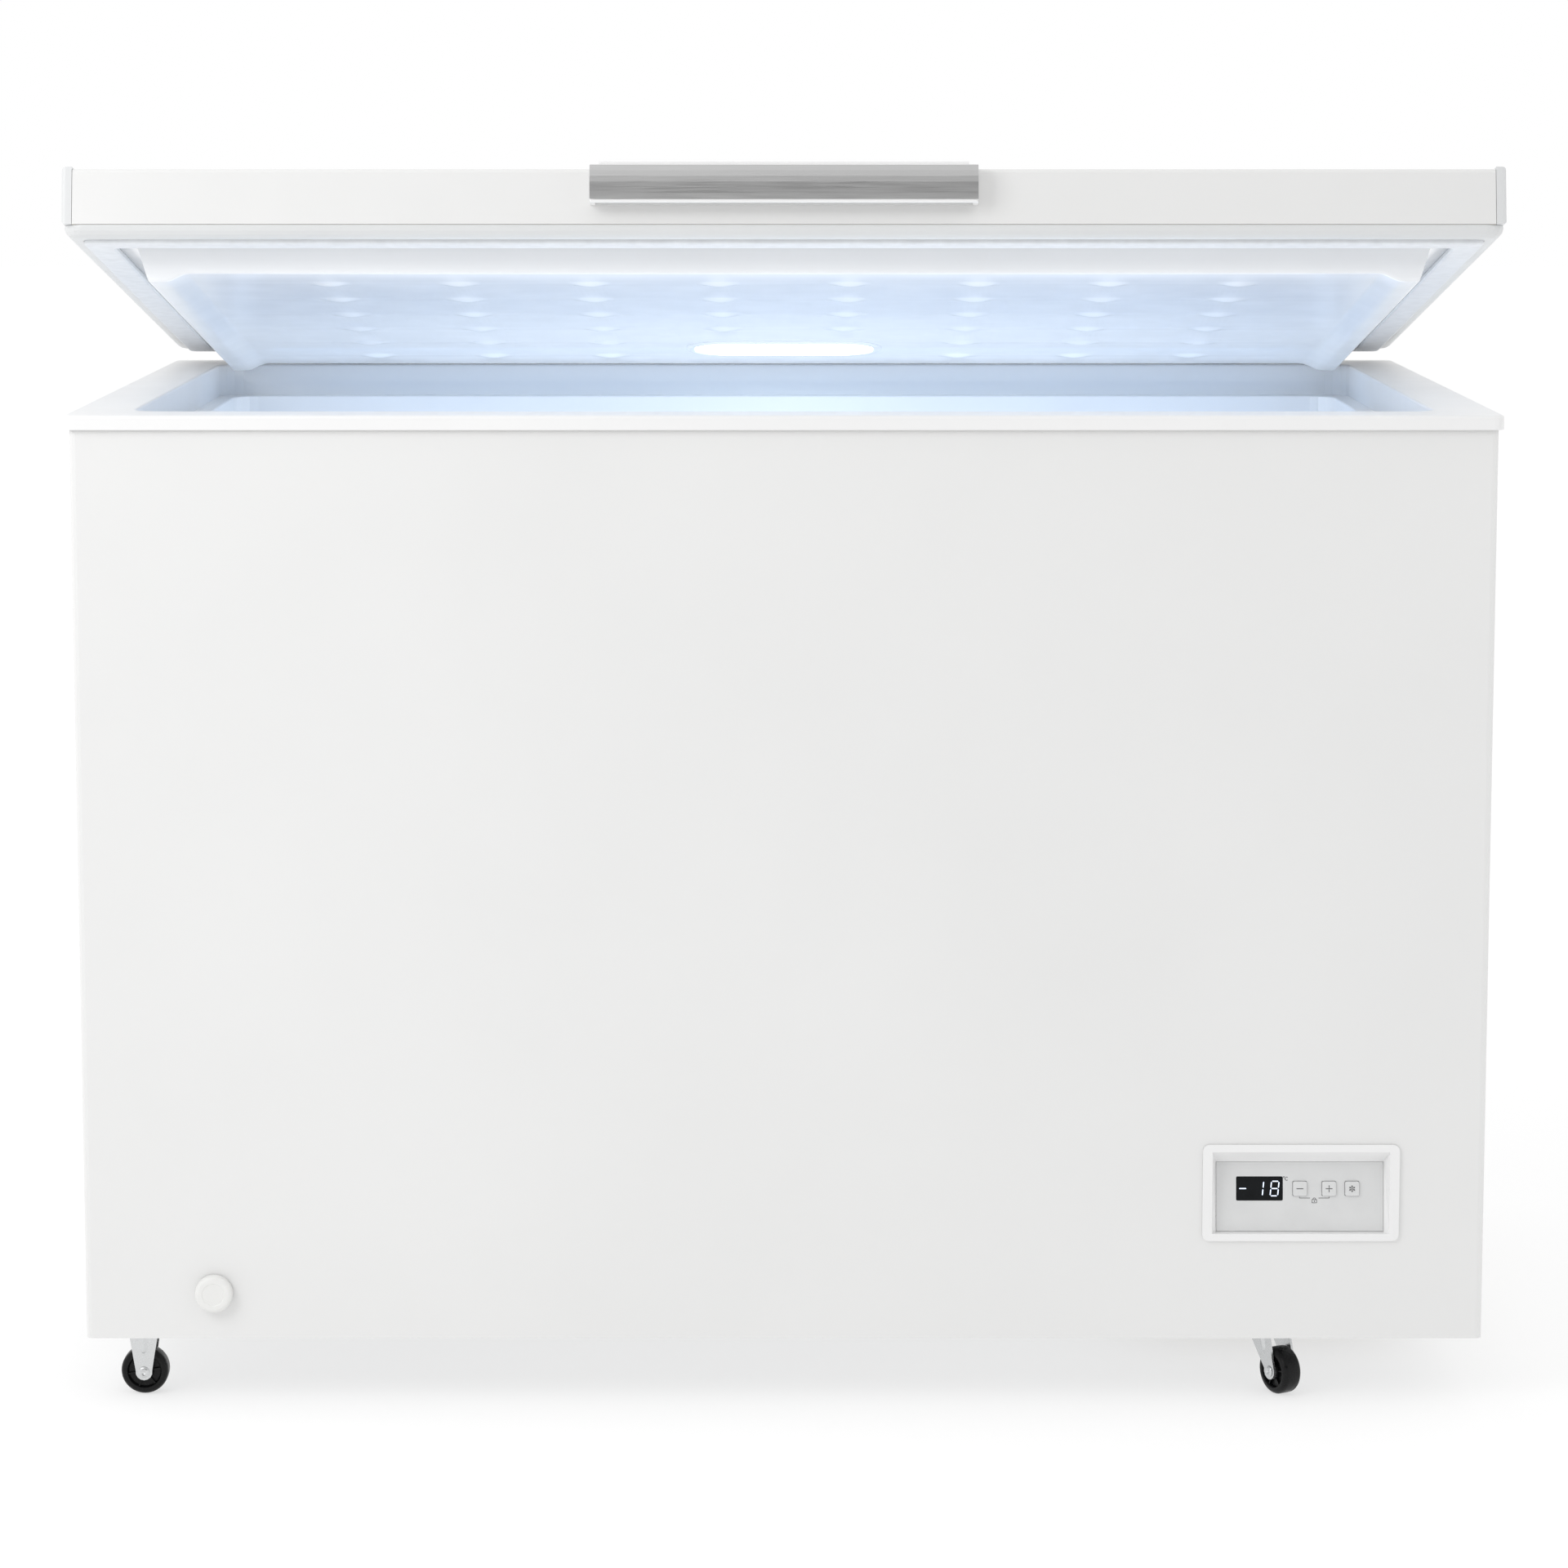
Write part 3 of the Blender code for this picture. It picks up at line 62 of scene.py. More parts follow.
# Lid, drawn shut
HINGE = next(joint for joint in frame["joints"] if joint["name"] == "lid_hinge")
PIVOT = Vector(HINGE["pos_m"])
LID_OPEN = -math.radians(HINGE["range_deg"][0])
LID_Z = 0.797
LID_TOP = 0.8505
PLUG_TOP_X = 0.508
PLUG_LOW_X = 0.500
PLUG_FRONT = -0.2955
PLUG_BACK = 0.2515
PLUG_EDGE = 0.003
EDGE_STEPS = (0.0, 0.13, 0.37, 0.67, 1.0)
RIDGE_STEPS = 6
PANEL_UNDER = 0.776
RIDGE_Z = 0.7695
RIDGE_W = 0.013
RIDGE_SLOPE = 0.020
LINER_T = 0.0015
FLANGE_INSET = 0.0368
FLANGE_R = 0.012

# Dimples pressed into the lid's liner
DIMPLE_X = (0.052, 0.155, 0.259, 0.362)
DIMPLE_ROWS = 6
DIMPLE_FIRST = -0.241
DIMPLE_PITCH = 0.0866
DIMPLE_A = 0.018
DIMPLE_B = 0.014
DIMPLE_H = 0.0024
DIMPLE_STEPS = (-1.0, -0.72, -0.45, -0.2, 0.0, 0.2, 0.45, 0.72, 1.0)

# Lamp in the lid
LAMP_Y = 0.145
LAMP_W = 0.156
LAMP_D = 0.076
LAMP_ROUND = 0.8
LAMP_RIM = 0.008
RIM_PROUD = 0.0016
RIM_EDGE = 0.0004
RIM_FLAT = (0.0012, LAMP_RIM - 0.003)
LAMP_POCKET = 0.7865
LAMP_GRID = 0.002

# Seal
GASKET_OUT = 0.015
GASKET_IN = 0.0365
GASKET_LOW = 0.7936
GASKET_HIGH = 0.8025
GASKET_R = 0.022
FOLD_UP = 0.001
FOLD_HALF = 0.0014
FOLD_DEEP = 0.0018
FOOT_UP = 0.0010
FOOT_IN = 0.0015

# Control panel
PANEL_X = 0.410
PANEL_Z = 0.175
FASCIA_DOWN = 0.0050
FASCIA_DEPTH = 0.0065
FASCIA_TILT = math.radians(6.8)
CONTROLS_UP = 0.0064
DISPLAY_X = -0.032
DISPLAY_FACE = -0.0002
BUTTON_FACE = -0.0016
BUTTONS = {"button_minus": 0.0, "button_plus": 0.0232, "button_super": 0.0415}
INK_T = 0.00008
INK_LIFT = 0.00002
DIGIT_HALF_W = 0.0030
DIGIT_HALF_H = 0.0058
DIGIT_NICK = 0.0005
DIGIT_SLANT = 0.10
DIGIT_LINE = 0.00085
MINUS_X = (-0.0163, -0.0105)
ONE_X = 0.0028
ONE_Z = (0.0006, 0.0054)
EIGHT_X = 0.0090
DEGREE_X = 0.0207
DEGREE_UP = 0.0078
DEGREE_R = 0.0005
DEGREE_LINE = 0.00032
LETTER_R = 0.0013
LETTER_SHIFT = 0.0009
LETTER_LINE = 0.00045
LOCK_DOWN = 0.0088
LOCK_LINE = 0.00040
LOCK_HALF_W = 0.0018
LOCK_H = 0.0026
LOCK_ARC_R = 0.0011
KEYHOLE_LOW = 0.0019
TIE_NEAR = 0.0034
TIE_FAR = 0.0118
TIE_UP = 0.0012
TIE_END = 0.0022
MARK_LINE = 0.00058
MARK_HALF = 0.0027
FLAKE_HOLE = 0.0004
BARB = 0.0009
BARB_AT = 0.55

# Drain dial
DRAIN_X = -0.453
DRAIN_Z = 0.094
DIAL_R = 0.015
DIAL_OUT = 0.010
DIAL_SHOULDER = 0.0036
DIAL_SUNK = 0.0005
DIAL_RING_R = 0.0086
DIAL_FOOT = 0.0030

# Casters
WHEEL_R = 0.019
WHEEL_W = 0.017
LEG_T = 0.002
LEG_PLAY = 0.0005
LEG_FACE = WHEEL_W / 2 + LEG_PLAY + LEG_T
AXLE_R = 0.0025
RIVET_R = 0.0045
TRAIL = 0.017
CASTERS = {
    "front_left": (Vector((-0.515, -0.3005, 0.0)), 0.0, 0.0),
    "rear_left": (Vector((-0.515, 0.2695, 0.0)), 0.0, 0.0),
    "front_right": (Vector((0.3915, -0.2885, 0.0)), math.radians(-60.0), TRAIL),
    "rear_right": (Vector((0.3915, 0.2575, 0.0)), math.radians(-60.0), TRAIL),
}

# The wheel's round shoulder, dished side and hub
CROWN_H = 0.0045
CROWN_IN = 0.0042
DISH_R = 0.0126
DISH_DEEP = 0.0032
HUB_R = 0.0062
SPOKE = (0.0058, 0.0010, 0.0022)
SPOKE_R = 0.0101
SPOKES = 6

# The rib pressed in each leg of a caster's fork
RIB_TOP = 0.0500
RIB_LOW = 0.0345
RIB_HALF = 0.0036
RIB_PROUD = 0.0016
RIB_SUNK = 0.0008
RIB_LEAN = 0.3
RIB_TAPER = 0.3
RIB_STEPS = 9

# Hinges
HINGE_X = 0.400

# Screws
SCREW_R = 0.0035
HINGE_SCREW_R = 0.0032
GRILLE_SCREW_R = 0.0026
SCREW_SUNK = 0.0011
ARM_T = 0.0025
ARM_SCREW_X = 0.0185
ARM_SCREW_DOWN = 0.014
REAR_T = 0.001
REAR_SIDE = 0.545
REAR_X = 0.27
REAR_END = 0.25
REAR_Z = (0.250, 0.420, 0.600)
REAR_HIGH = 0.772
REAR_LOW = 0.066
COVER_INSET = 0.009
GRILLE_INSET = 0.0055
BASE_SCREWS_UP = (0.012, 0.080)

# Lights: place, target, size, watts and colour
LIGHTS = {
    "key_light": ((-1.5, -1.7, 1.7), (-0.2, 0.0, 0.5), (1.2, 1.2), 14.0, (1.0, 1.0, 1.0)),
    "tub_light": ((0.0, -0.02, 0.42), (0.0, -0.02, 0.9), (0.94, 0.48), 2.8, (0.87, 0.92, 0.945)),
    "fill_light": ((0.0, -0.02, 0.70), (0.0, -0.02, 0.0), (0.90, 0.44), 1.2, (0.84, 0.91, 1.0)),
    "lamp_light": ((0.0, 0.12, 0.802), (0.0, 0.62, -0.068), (0.9, 0.05), 0.25, (0.40, 0.64, 1.0)),
}
FLAG_PLACE = (0.0, -5.2, 2.2)
FLAG_TILT = math.radians(65)
FLAG_SIZE = (7.0, 1.7)

# Camera, tilted and shifted to frame the object as the photo does
CAMERA_PLACE = (0.0, -3.828, 1.063)
CAMERA_TILT = math.radians(82.87)
CAMERA_LENS = 103.26
CAMERA_SHIFT = -0.10


# ---------------------------------------------------------------- finishes


class Finish:
    """A node material whose colour, roughness and surface all vary a little with the place."""

    def __init__(self, name, colour, roughness, metallic=0.0):
        self.material = bpy.data.materials.new(name)
        self.material.use_nodes = True
        self.tree = self.material.node_tree
        self.shader = self.tree.nodes["Principled BSDF"]
        self.shader.inputs["Metallic"].default_value = metallic
        self.place = self.tree.nodes.new("ShaderNodeTexCoord").outputs["Object"]
        self.colour = colour
        self.roughness = roughness
        self.relief = None

    def stretched(self, scale):
        """The place, squeezed along each axis, for grain that runs one way."""
        mapping = self.tree.nodes.new("ShaderNodeMapping")
        mapping.inputs["Scale"].default_value = scale
        self.tree.links.new(self.place, mapping.inputs["Vector"])
        return mapping.outputs["Vector"]

    def noise(self, size, detail=2.0, place=None):
        """A soft noise from 0 to 1 whose blobs are about `size` metres wide."""
        node = self.tree.nodes.new("ShaderNodeTexNoise")
        node.inputs["Scale"].default_value = 1.0 / size
        node.inputs["Detail"].default_value = detail
        self.tree.links.new(place or self.place, node.inputs["Vector"])
        return node.outputs["Fac"]

    def cells(self, size, place=None):
        """The distance to the nearest of many scattered points, for grains and pebbles."""
        node = self.tree.nodes.new("ShaderNodeTexVoronoi")
        node.feature = "SMOOTH_F1"
        node.inputs["Scale"].default_value = 1.0 / size
        self.tree.links.new(place or self.place, node.inputs["Vector"])
        return node.outputs["Distance"]

    def mottle(self, amount, size, place=None):
        """Lets the colour drift between a darker and a lighter shade."""
        ramp = self.tree.nodes.new("ShaderNodeValToRGB")
        for stop, shift, at in zip(ramp.color_ramp.elements, (-amount, amount), (0.3, 0.7)):
            stop.position = at
            stop.color = (*(min(max(c * (1 + shift), 0.0), 1.0) for c in self.colour), 1.0)
        self.tree.links.new(self.noise(size, 3.0, place), ramp.inputs["Fac"])
        self.tree.links.new(ramp.outputs["Color"], self.shader.inputs["Base Color"])
        return self

    def wear(self, amount, size, place=None):
        """Lets the roughness drift either side of its value."""
        span = self.tree.nodes.new("ShaderNodeMapRange")
        span.inputs["From Min"].default_value = 0.3
        span.inputs["From Max"].default_value = 0.7
        span.inputs["To Min"].default_value = max(self.roughness - amount, 0.02)
        span.inputs["To Max"].default_value = min(self.roughness + amount, 1.0)
        self.tree.links.new(self.noise(size, 2.0, place), span.inputs["Value"])
        self.tree.links.new(span.outputs["Result"], self.shader.inputs["Roughness"])
        return self

    def bump(self, height, depth):
        """Adds a relief of the given depth in metres."""
        node = self.tree.nodes.new("ShaderNodeBump")
        node.inputs["Distance"].default_value = depth
        self.tree.links.new(height, node.inputs["Height"])
        if self.relief is not None:
            self.tree.links.new(self.relief, node.inputs["Normal"])
        self.relief = node.outputs["Normal"]
        self.tree.links.new(self.relief, self.shader.inputs["Normal"])
        return self

    def shine(self, level):
        """Sets how strongly the surface mirrors, 0.5 being an ordinary plastic."""
        self.shader.inputs["Specular IOR Level"].default_value = level
        return self

    def coat(self, weight, roughness):
        self.shader.inputs["Coat Weight"].default_value = weight
        self.shader.inputs["Coat Roughness"].default_value = roughness
        return self

    def glow(self, colour, strength):
        self.shader.inputs["Emission Color"].default_value = (*colour, 1.0)
        self.shader.inputs["Emission Strength"].default_value = strength
        return self


def white_steel():
    """Powder coat with a fine orange peel."""
    made = Finish("white_steel", (0.785, 0.785, 0.78), 0.34).mottle(0.012, 0.22).wear(0.05, 0.06)
    made.bump(made.noise(0.0016, 1.0), 0.00002)
    return made.coat(0.25, 0.12).material


def white_plastic():
    made = Finish("white_plastic", (0.85, 0.85, 0.85), 0.36).mottle(0.012, 0.15).wear(0.05, 0.03)
    return made.bump(made.noise(0.0007, 2.0), 0.000012).material


def moulding_plastic():
    """The greyer white of the moulding round the lid's underside."""
    made = Finish("moulding_plastic", (0.70, 0.71, 0.715), 0.38).mottle(0.012, 0.15).wear(0.05, 0.03)
    return made.bump(made.noise(0.0007, 2.0), 0.000012).material


def warm_plastic():
    made = Finish("warm_plastic", (0.79, 0.79, 0.775), 0.42).mottle(0.012, 0.02).wear(0.05, 0.01)
    return made.bump(made.noise(0.0006, 2.0), 0.00001).material


def cool_plastic_painted_blue_light():
    """The lid's liner: a bluish white, vacuum-formed sheet, a little wavy. Its blue tint is partly the
    plastic's own cool white and partly painted blue lamp light.
    """
    # Partly painted light: the blue in this colour stands in part for the lamp's blue cast on the liner.
    made = Finish("cool_plastic_painted_blue_light", (0.90, 0.915, 0.935), 0.20).mottle(0.010, 0.12).wear(0.03, 0.05)
    return made.bump(made.noise(0.03, 1.0), 0.00004).material


def fascia_grey():
    made = Finish("fascia_grey", (0.68, 0.685, 0.685), 0.42).mottle(0.02, 0.02).wear(0.06, 0.01)
    return made.bump(made.noise(0.0004, 2.0), 0.00001).material


def embossed_aluminium_painted_blue_shade():
    """Stucco-rolled sheet: small pebbles pressed into a bright metal. Its base colour is painted light:
    darker and bluer than bare metal, for the lamp's blue cast and the shade deep in the tub.
    """
    # Painted light: this blue-grey base colour stands for the lamp's blue cast and the tub's shade, not
    # the metal's own colour.
    made = Finish("embossed_aluminium_painted_blue_shade", (0.40, 0.47, 0.58), 0.28, 0.85)
    made.mottle(0.05, 0.02).wear(0.08, 0.004)
    made.bump(made.cells(0.0042), 0.0009)
    return made.bump(made.noise(0.0015, 3.0), 0.00015).material


def brushed_silver():
    made = Finish("brushed_silver", (0.60, 0.60, 0.60), 0.34, 1.0)
    grain = made.stretched((0.01, 1.0, 1.0))
    made.mottle(0.03, 0.0004, grain).wear(0.05, 0.0004, grain)
    return made.bump(made.noise(0.0003, 2.0, grain), 0.000004).material


def zinc():
    """Bright zinc plate with faint crystals and handling marks."""
    made = Finish("zinc", (0.66, 0.67, 0.675), 0.28, 0.9).mottle(0.02, 0.006).wear(0.04, 0.006)
    return made.bump(made.noise(0.0015, 2.0), 0.000006).material


def black_paint():
    made = Finish("black_paint", (0.022, 0.022, 0.024), 0.42).mottle(0.15, 0.03).wear(0.10, 0.01)
    return made.bump(made.noise(0.0009, 2.0), 0.00003).material


def tyre_black():
    made = Finish("tyre_black", (0.004, 0.0042, 0.0045), 0.34).mottle(0.25, 0.006).wear(0.10, 0.003)
    return made.bump(made.noise(0.0006, 2.0), 0.000012).shine(0.22).material


def grey_rubber():
    made = Finish("grey_rubber", (0.78, 0.80, 0.83), 0.62).mottle(0.04, 0.01).wear(0.08, 0.006)
    return made.bump(made.noise(0.0005, 2.0), 0.00002).material


def foam():
    """Poured polyurethane: a straw-coloured skin over fine cells."""
    made = Finish("foam", (0.80, 0.70, 0.46), 0.9).mottle(0.10, 0.02).wear(0.06, 0.01)
    return made.bump(made.cells(0.0012), 0.0002).material


def copper():
    made = Finish("copper", (0.70, 0.38, 0.24), 0.32, 1.0).mottle(0.12, 0.01).wear(0.12, 0.005)
    return made.bump(made.noise(0.0008, 2.0), 0.00001).material


def circuit_board():
    made = Finish("circuit_board", (0.03, 0.20, 0.08), 0.45).mottle(0.10, 0.004).wear(0.10, 0.002)
    return made.bump(made.cells(0.0009), 0.00004).material


def display_glass():
    made = Finish("display_glass", (0.006, 0.007, 0.008), 0.14).mottle(0.2, 0.01).wear(0.05, 0.006)
    return made.bump(made.noise(0.002, 1.0), 0.000003).shine(0.12).material


def lit_digits():
    made = Finish("lit_digits", (0.75, 0.82, 1.0), 0.4).mottle(0.05, 0.001).wear(0.05, 0.001)
    return made.bump(made.noise(0.0003, 1.0), 0.000003).glow((0.66, 0.78, 1.0), 0.8).material


def printed_ink():
    made = Finish("printed_ink", (0.035, 0.035, 0.038), 0.5).mottle(0.1, 0.001).wear(0.08, 0.001)
    return made.bump(made.noise(0.0002, 1.0), 0.000003).material


def lamp_glow():
    """The frosted lens with cold white light behind it."""
    made = Finish("lamp_glow", (0.88, 0.94, 1.0), 0.35).mottle(0.02, 0.01).wear(0.05, 0.004)
    return made.bump(made.cells(0.0012), 0.00003).glow((0.72, 0.86, 1.0), 2.0).material


FINISHES = {
    make.__name__: make()
    for make in (
        white_steel,
        white_plastic,
        moulding_plastic,
        warm_plastic,
        cool_plastic_painted_blue_light,
        fascia_grey,
        embossed_aluminium_painted_blue_shade,
        brushed_silver,
        zinc,
        black_paint,
        tyre_black,
        grey_rubber,
        foam,
        copper,
        circuit_board,
        display_glass,
        lit_digits,
        printed_ink,
        lamp_glow,
    )
}

DRESS = {
    "white_steel": ["outer_shell", "rear_panel", "lid_skin"],
    "white_plastic": [
        "top_collar",
        "side_grille",
        "control_bezel",
        "drain_tube",
        "drain_outlet",
        "handle_body",
    ],
    "moulding_plastic": ["lid_frame", "lid_trim_left", "lid_trim_right"],
    "warm_plastic": ["drain_dial"],
    "cool_plastic_painted_blue_light": ["lid_liner"],
    "fascia_grey": ["control_fascia", "button_minus", "button_plus", "button_super"],
    "embossed_aluminium_painted_blue_shade": ["inner_liner"],
    "brushed_silver": ["handle_trim"],
    "zinc": [
        "base_plate",
        "service_cover",
        "hinge_base_left",
        "hinge_base_right",
        "hinge_pin_left",
        "hinge_pin_right",
        "hinge_spring_left",
        "hinge_spring_right",
        "hinge_arm_left",
        "hinge_arm_right",
        "front_left_fork",
        "front_left_axle",
        "rear_left_fork",
        "rear_left_axle",
        "front_right_plate",
        "front_right_fork",
        "front_right_axle",
        "rear_right_plate",
        "rear_right_fork",
        "rear_right_axle",
    ],
    "black_paint": [
        "compressor",
        "relay_cover",
        "power_gland",
        "hinge_plunger_left",
        "hinge_plunger_right",
    ],
    "tyre_black": [
        "liner_drain_plug",
        "front_left_wheel",
        "rear_left_wheel",
        "front_right_wheel",
        "rear_right_wheel",
    ],
    "grey_rubber": ["lid_gasket"],
    "foam": ["cabinet_foam", "lid_foam"],
    "copper": ["evaporator_tube", "condenser_tube"],
    "circuit_board": ["control_board", "lamp_board"],
    "display_glass": ["display_window"],
    "lamp_glow": ["lamp_lens"],
}


def dress_frame():
    for finish, nodes in DRESS.items():
        for node in nodes:
            for slot in frame["nodes"][node].material_slots:
                slot.material = FINISHES[finish]


# ---------------------------------------------------------------- building blocks


def lid_matrix():
    """Carries what is drawn with the lid shut to where the frame holds the lid."""
    turn = Matrix.Rotation(-LID_OPEN, 4, "X")
    return Matrix.Translation(PIVOT) @ turn @ Matrix.Translation(-PIVOT)


def fascia_matrix():
    """Carries what is drawn on the XZ plane to the leaning face of the control panel."""
    centre = (PANEL_X, SHELL_FRONT + FASCIA_DEPTH, PANEL_Z - FASCIA_DOWN)
    return Matrix.Translation(centre) @ Matrix.Rotation(-FASCIA_TILT, 4, "X")


def caster_matrix(name, at_wheel=True):
    """Carries what is drawn about the Z axis to a caster's axle."""
    place, turn, trail = CASTERS[name]
    matrix = Matrix.Translation(place) @ Matrix.Rotation(turn, 4, "Z")
    if at_wheel:
        lie = Matrix.Rotation(math.pi / 2, 4, "X")
        matrix = matrix @ Matrix.Translation((trail, 0.0, WHEEL_R)) @ lie
    return matrix


def piece(name, bm, finish, body, matrix=None, stands_for=None, smooth=35):
    """Turns a bmesh into a finished piece that rides on a body of the frame."""
    if matrix is not None:
        bm.transform(matrix)
    mesh = bpy.data.meshes.new(name)
    bm.to_mesh(mesh)
    bm.free()
    mesh.materials.append(FINISHES[finish])
    thing = bpy.data.objects.new(name, mesh)
    bpy.context.scene.collection.objects.link(thing)
    mesh.shade_smooth()
    mesh.set_sharp_from_angle(angle=math.radians(smooth))
    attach(thing, body)
    if stands_for:
        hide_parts(stands_for)
    return thing


def ring_points(half_x, front, back, radius, z, segments=6):
    """A rounded rectangle, anticlockwise seen from above, from its front right corner."""
    corners = (
        (half_x - radius, front + radius, -90),
        (half_x - radius, back - radius, 0),
        (radius - half_x, back - radius, 90),
        (radius - half_x, front + radius, 180),
    )
    points = []
    for x, y, start in corners:
        for step in range(segments + 1):
            angle = math.radians(start + 90 * step / segments)
            points.append((x + radius * math.cos(angle), y + radius * math.sin(angle), z))
    return points


def loft(bm, rings, closed):
    """Skins the rings one after another, back to the first one when closed, or else capped."""
    loops = [[bm.verts.new(p) for p in ring] for ring in rings]
    pairs = list(zip(loops, loops[1:]))
    if closed:
        pairs.append((loops[-1], loops[0]))
    else:
        bm.faces.new(list(reversed(loops[0])))
        bm.faces.new(loops[-1])
    count = len(loops[0])
    for lower, upper in pairs:
        for i in range(count):
            j = (i + 1) % count
            bm.faces.new((lower[i], lower[j], upper[j], upper[i]))
    return bm


def lathe(bm, profile, steps):
    """Turns (radius, height) points about Z. A zero radius closes an end, and a profile with
    none is closed on itself."""
    loops = []
    for radius, height in profile:
        if radius == 0.0:
            loops.append([bm.verts.new((0.0, 0.0, height))])
            continue
        angles = [2 * math.pi * i / steps for i in range(steps)]
        loops.append(
            [bm.verts.new((radius * math.cos(a), radius * math.sin(a), height)) for a in angles]
        )
    pairs = list(zip(loops, loops[1:]))
    if all(radius > 0.0 for radius, _ in profile):
        pairs.append((loops[-1], loops[0]))
    for upper, lower in pairs:
        for i in range(steps):
            j = (i + 1) % steps
            if len(upper) == 1:
                bm.faces.new((upper[0], lower[i], lower[j]))
            elif len(lower) == 1:
                bm.faces.new((upper[i], lower[0], upper[j]))
            else:
                bm.faces.new((upper[i], lower[i], lower[j], upper[j]))
    bmesh.ops.recalc_face_normals(bm, faces=bm.faces)
    return bm


def slab(bm, outline, front, back):
    """A flat outline of (x, z) points given a thickness along Y."""
    near = [bm.verts.new((x, front, z)) for x, z in outline]
    far = [bm.verts.new((x, back, z)) for x, z in outline]
    faces = [bm.faces.new(near), bm.faces.new(list(reversed(far)))]
    count = len(outline)
    for i in range(count):
        j = (i + 1) % count
        faces.append(bm.faces.new((near[j], near[i], far[i], far[j])))
    bmesh.ops.recalc_face_normals(bm, faces=faces)
    return bm


def stroke(bm, start, end, width, front, back, point=0.5):
    """A straight mark from start to end. Its ends are pointed, or square where point is 0."""
    start = Vector(start)
    end = Vector(end)
    along = (end - start).normalized() * width / 2
    side = Vector((-along.y, along.x))
    lead = along * 2 * point
    outline = [
        start,
        start + lead - side,
        end - lead - side,
        end,
        end - lead + side,
        start + lead + side,
    ]
    return slab(bm, [tuple(p) for p in outline], front, back)


def arc(centre, radius, start, end, steps):
    points = []
    for step in range(steps + 1):
        angle = math.radians(start + (end - start) * step / steps)
        points.append((centre[0] + radius * math.cos(angle), centre[1] + radius * math.sin(angle)))
    return points


def band(bm, points, width, front, back):
    """A mark of even width that follows the points."""
    left = []
    right = []
    for i, point in enumerate(points):
        before = Vector(points[max(i - 1, 0)])
        after = Vector(points[min(i + 1, len(points) - 1)])
        along = (after - before).normalized()
        side = Vector((-along.y, along.x)) * width / 2
        left.append(tuple(Vector(point) + side))
        right.append(tuple(Vector(point) - side))
    return slab(bm, left + list(reversed(right)), front, back)


# ---------------------------------------------------------------- lid liner


def spread(centre, reach):
    """Grid lines across one dimple, from edge to edge."""
    return [centre + reach * step for step in DIMPLE_STEPS]


def edge_lines(low, high):
    """Grid lines that follow the rounded edge at either end."""
    return [low + PLUG_EDGE * s for s in EDGE_STEPS] + [high - PLUG_EDGE * s for s in EDGE_STEPS]


def dimple_rows():
    return [DIMPLE_FIRST + DIMPLE_PITCH * row for row in range(DIMPLE_ROWS)]


def dimple_columns():
    return [-x for x in reversed(DIMPLE_X)] + list(DIMPLE_X)


def lamp_lines(middle, low, high):
    """Close grid lines either side of the middle, so that the pocket's edge stays under its rim."""
    count = round((high - low) / LAMP_GRID)
    steps = [low + LAMP_GRID * i for i in range(count + 1)]
    return [middle - step for step in steps] + [middle + step for step in steps]


def thinned(lines):
    """The lines in order, without those that almost touch the one before."""
    kept = []
    for line in sorted(lines):
        if not kept or line - kept[-1] > GAP:
            kept.append(line)
    return kept


def liner_columns():
    lines = edge_lines(-PLUG_LOW_X, PLUG_LOW_X)
    for step in range(RIDGE_STEPS + 1):
        inner = PLUG_LOW_X - RIDGE_W - RIDGE_SLOPE * step / RIDGE_STEPS
        lines += [-inner, inner]
    for x in dimple_columns():
        lines += spread(x, DIMPLE_A)
    half = LAMP_W / 2
    return thinned(lines + lamp_lines(0.0, half - LAMP_ROUND * LAMP_D / 2, half + 2 * LAMP_GRID))


def liner_rows():
    lines = edge_lines(PLUG_FRONT, PLUG_BACK)
    for y in dimple_rows():
        lines += spread(y, DIMPLE_B)
    half = LAMP_D / 2
    return thinned(lines + lamp_lines(LAMP_Y, half - LAMP_ROUND * half, half + 2 * LAMP_GRID))


def in_lamp(x, y, grow):
    """True inside the lamp's rounded outline, grown by a margin."""
    half_x = LAMP_W / 2 + grow
    half_y = LAMP_D / 2 + grow
    radius = LAMP_D / 2 * LAMP_ROUND + grow
    dx = max(abs(x) - (half_x - radius), 0.0)
    dy = max(abs(y - LAMP_Y) - (half_y - radius), 0.0)
    return math.hypot(dx, dy) < radius and abs(x) < half_x and abs(y - LAMP_Y) < half_y


def dimple_depth(x, y):
    """How far the panel bulges down at a place, inside the nearest dimple."""
    centre_x = min(dimple_columns(), key=lambda c: abs(c - x))
    centre_y = min(dimple_rows(), key=lambda c: abs(c - y))
    if in_lamp(centre_x, centre_y, LAMP_RIM + DIMPLE_B):
        return 0.0
    reach = math.hypot((x - centre_x) / DIMPLE_A, (y - centre_y) / DIMPLE_B)
    return DIMPLE_H * (1 - reach**2) ** 2 if reach < 1 else 0.0


def liner_height(x, y):
    """The underside of the lid's liner: ridges down both sides, dimples and the lamp's pocket."""
    if in_lamp(x, y, 2 * GAP):
        return LAMP_POCKET
    edge_x = max(PLUG_EDGE - (PLUG_LOW_X - abs(x)), 0.0)
    edge_y = max(PLUG_EDGE - min(y - PLUG_FRONT, PLUG_BACK - y), 0.0)
    into = min(math.hypot(edge_x, edge_y), PLUG_EDGE)
    rounding = PLUG_EDGE - math.sqrt(PLUG_EDGE**2 - into**2)
    slope = (PLUG_LOW_X - RIDGE_W - abs(x)) / RIDGE_SLOPE
    slope = min(max(slope, 0.0), 1.0)
    rise = (1 - math.cos(math.pi * slope)) / 2
    return RIDGE_Z + (PANEL_UNDER - RIDGE_Z) * rise + rounding - dimple_depth(x, y)


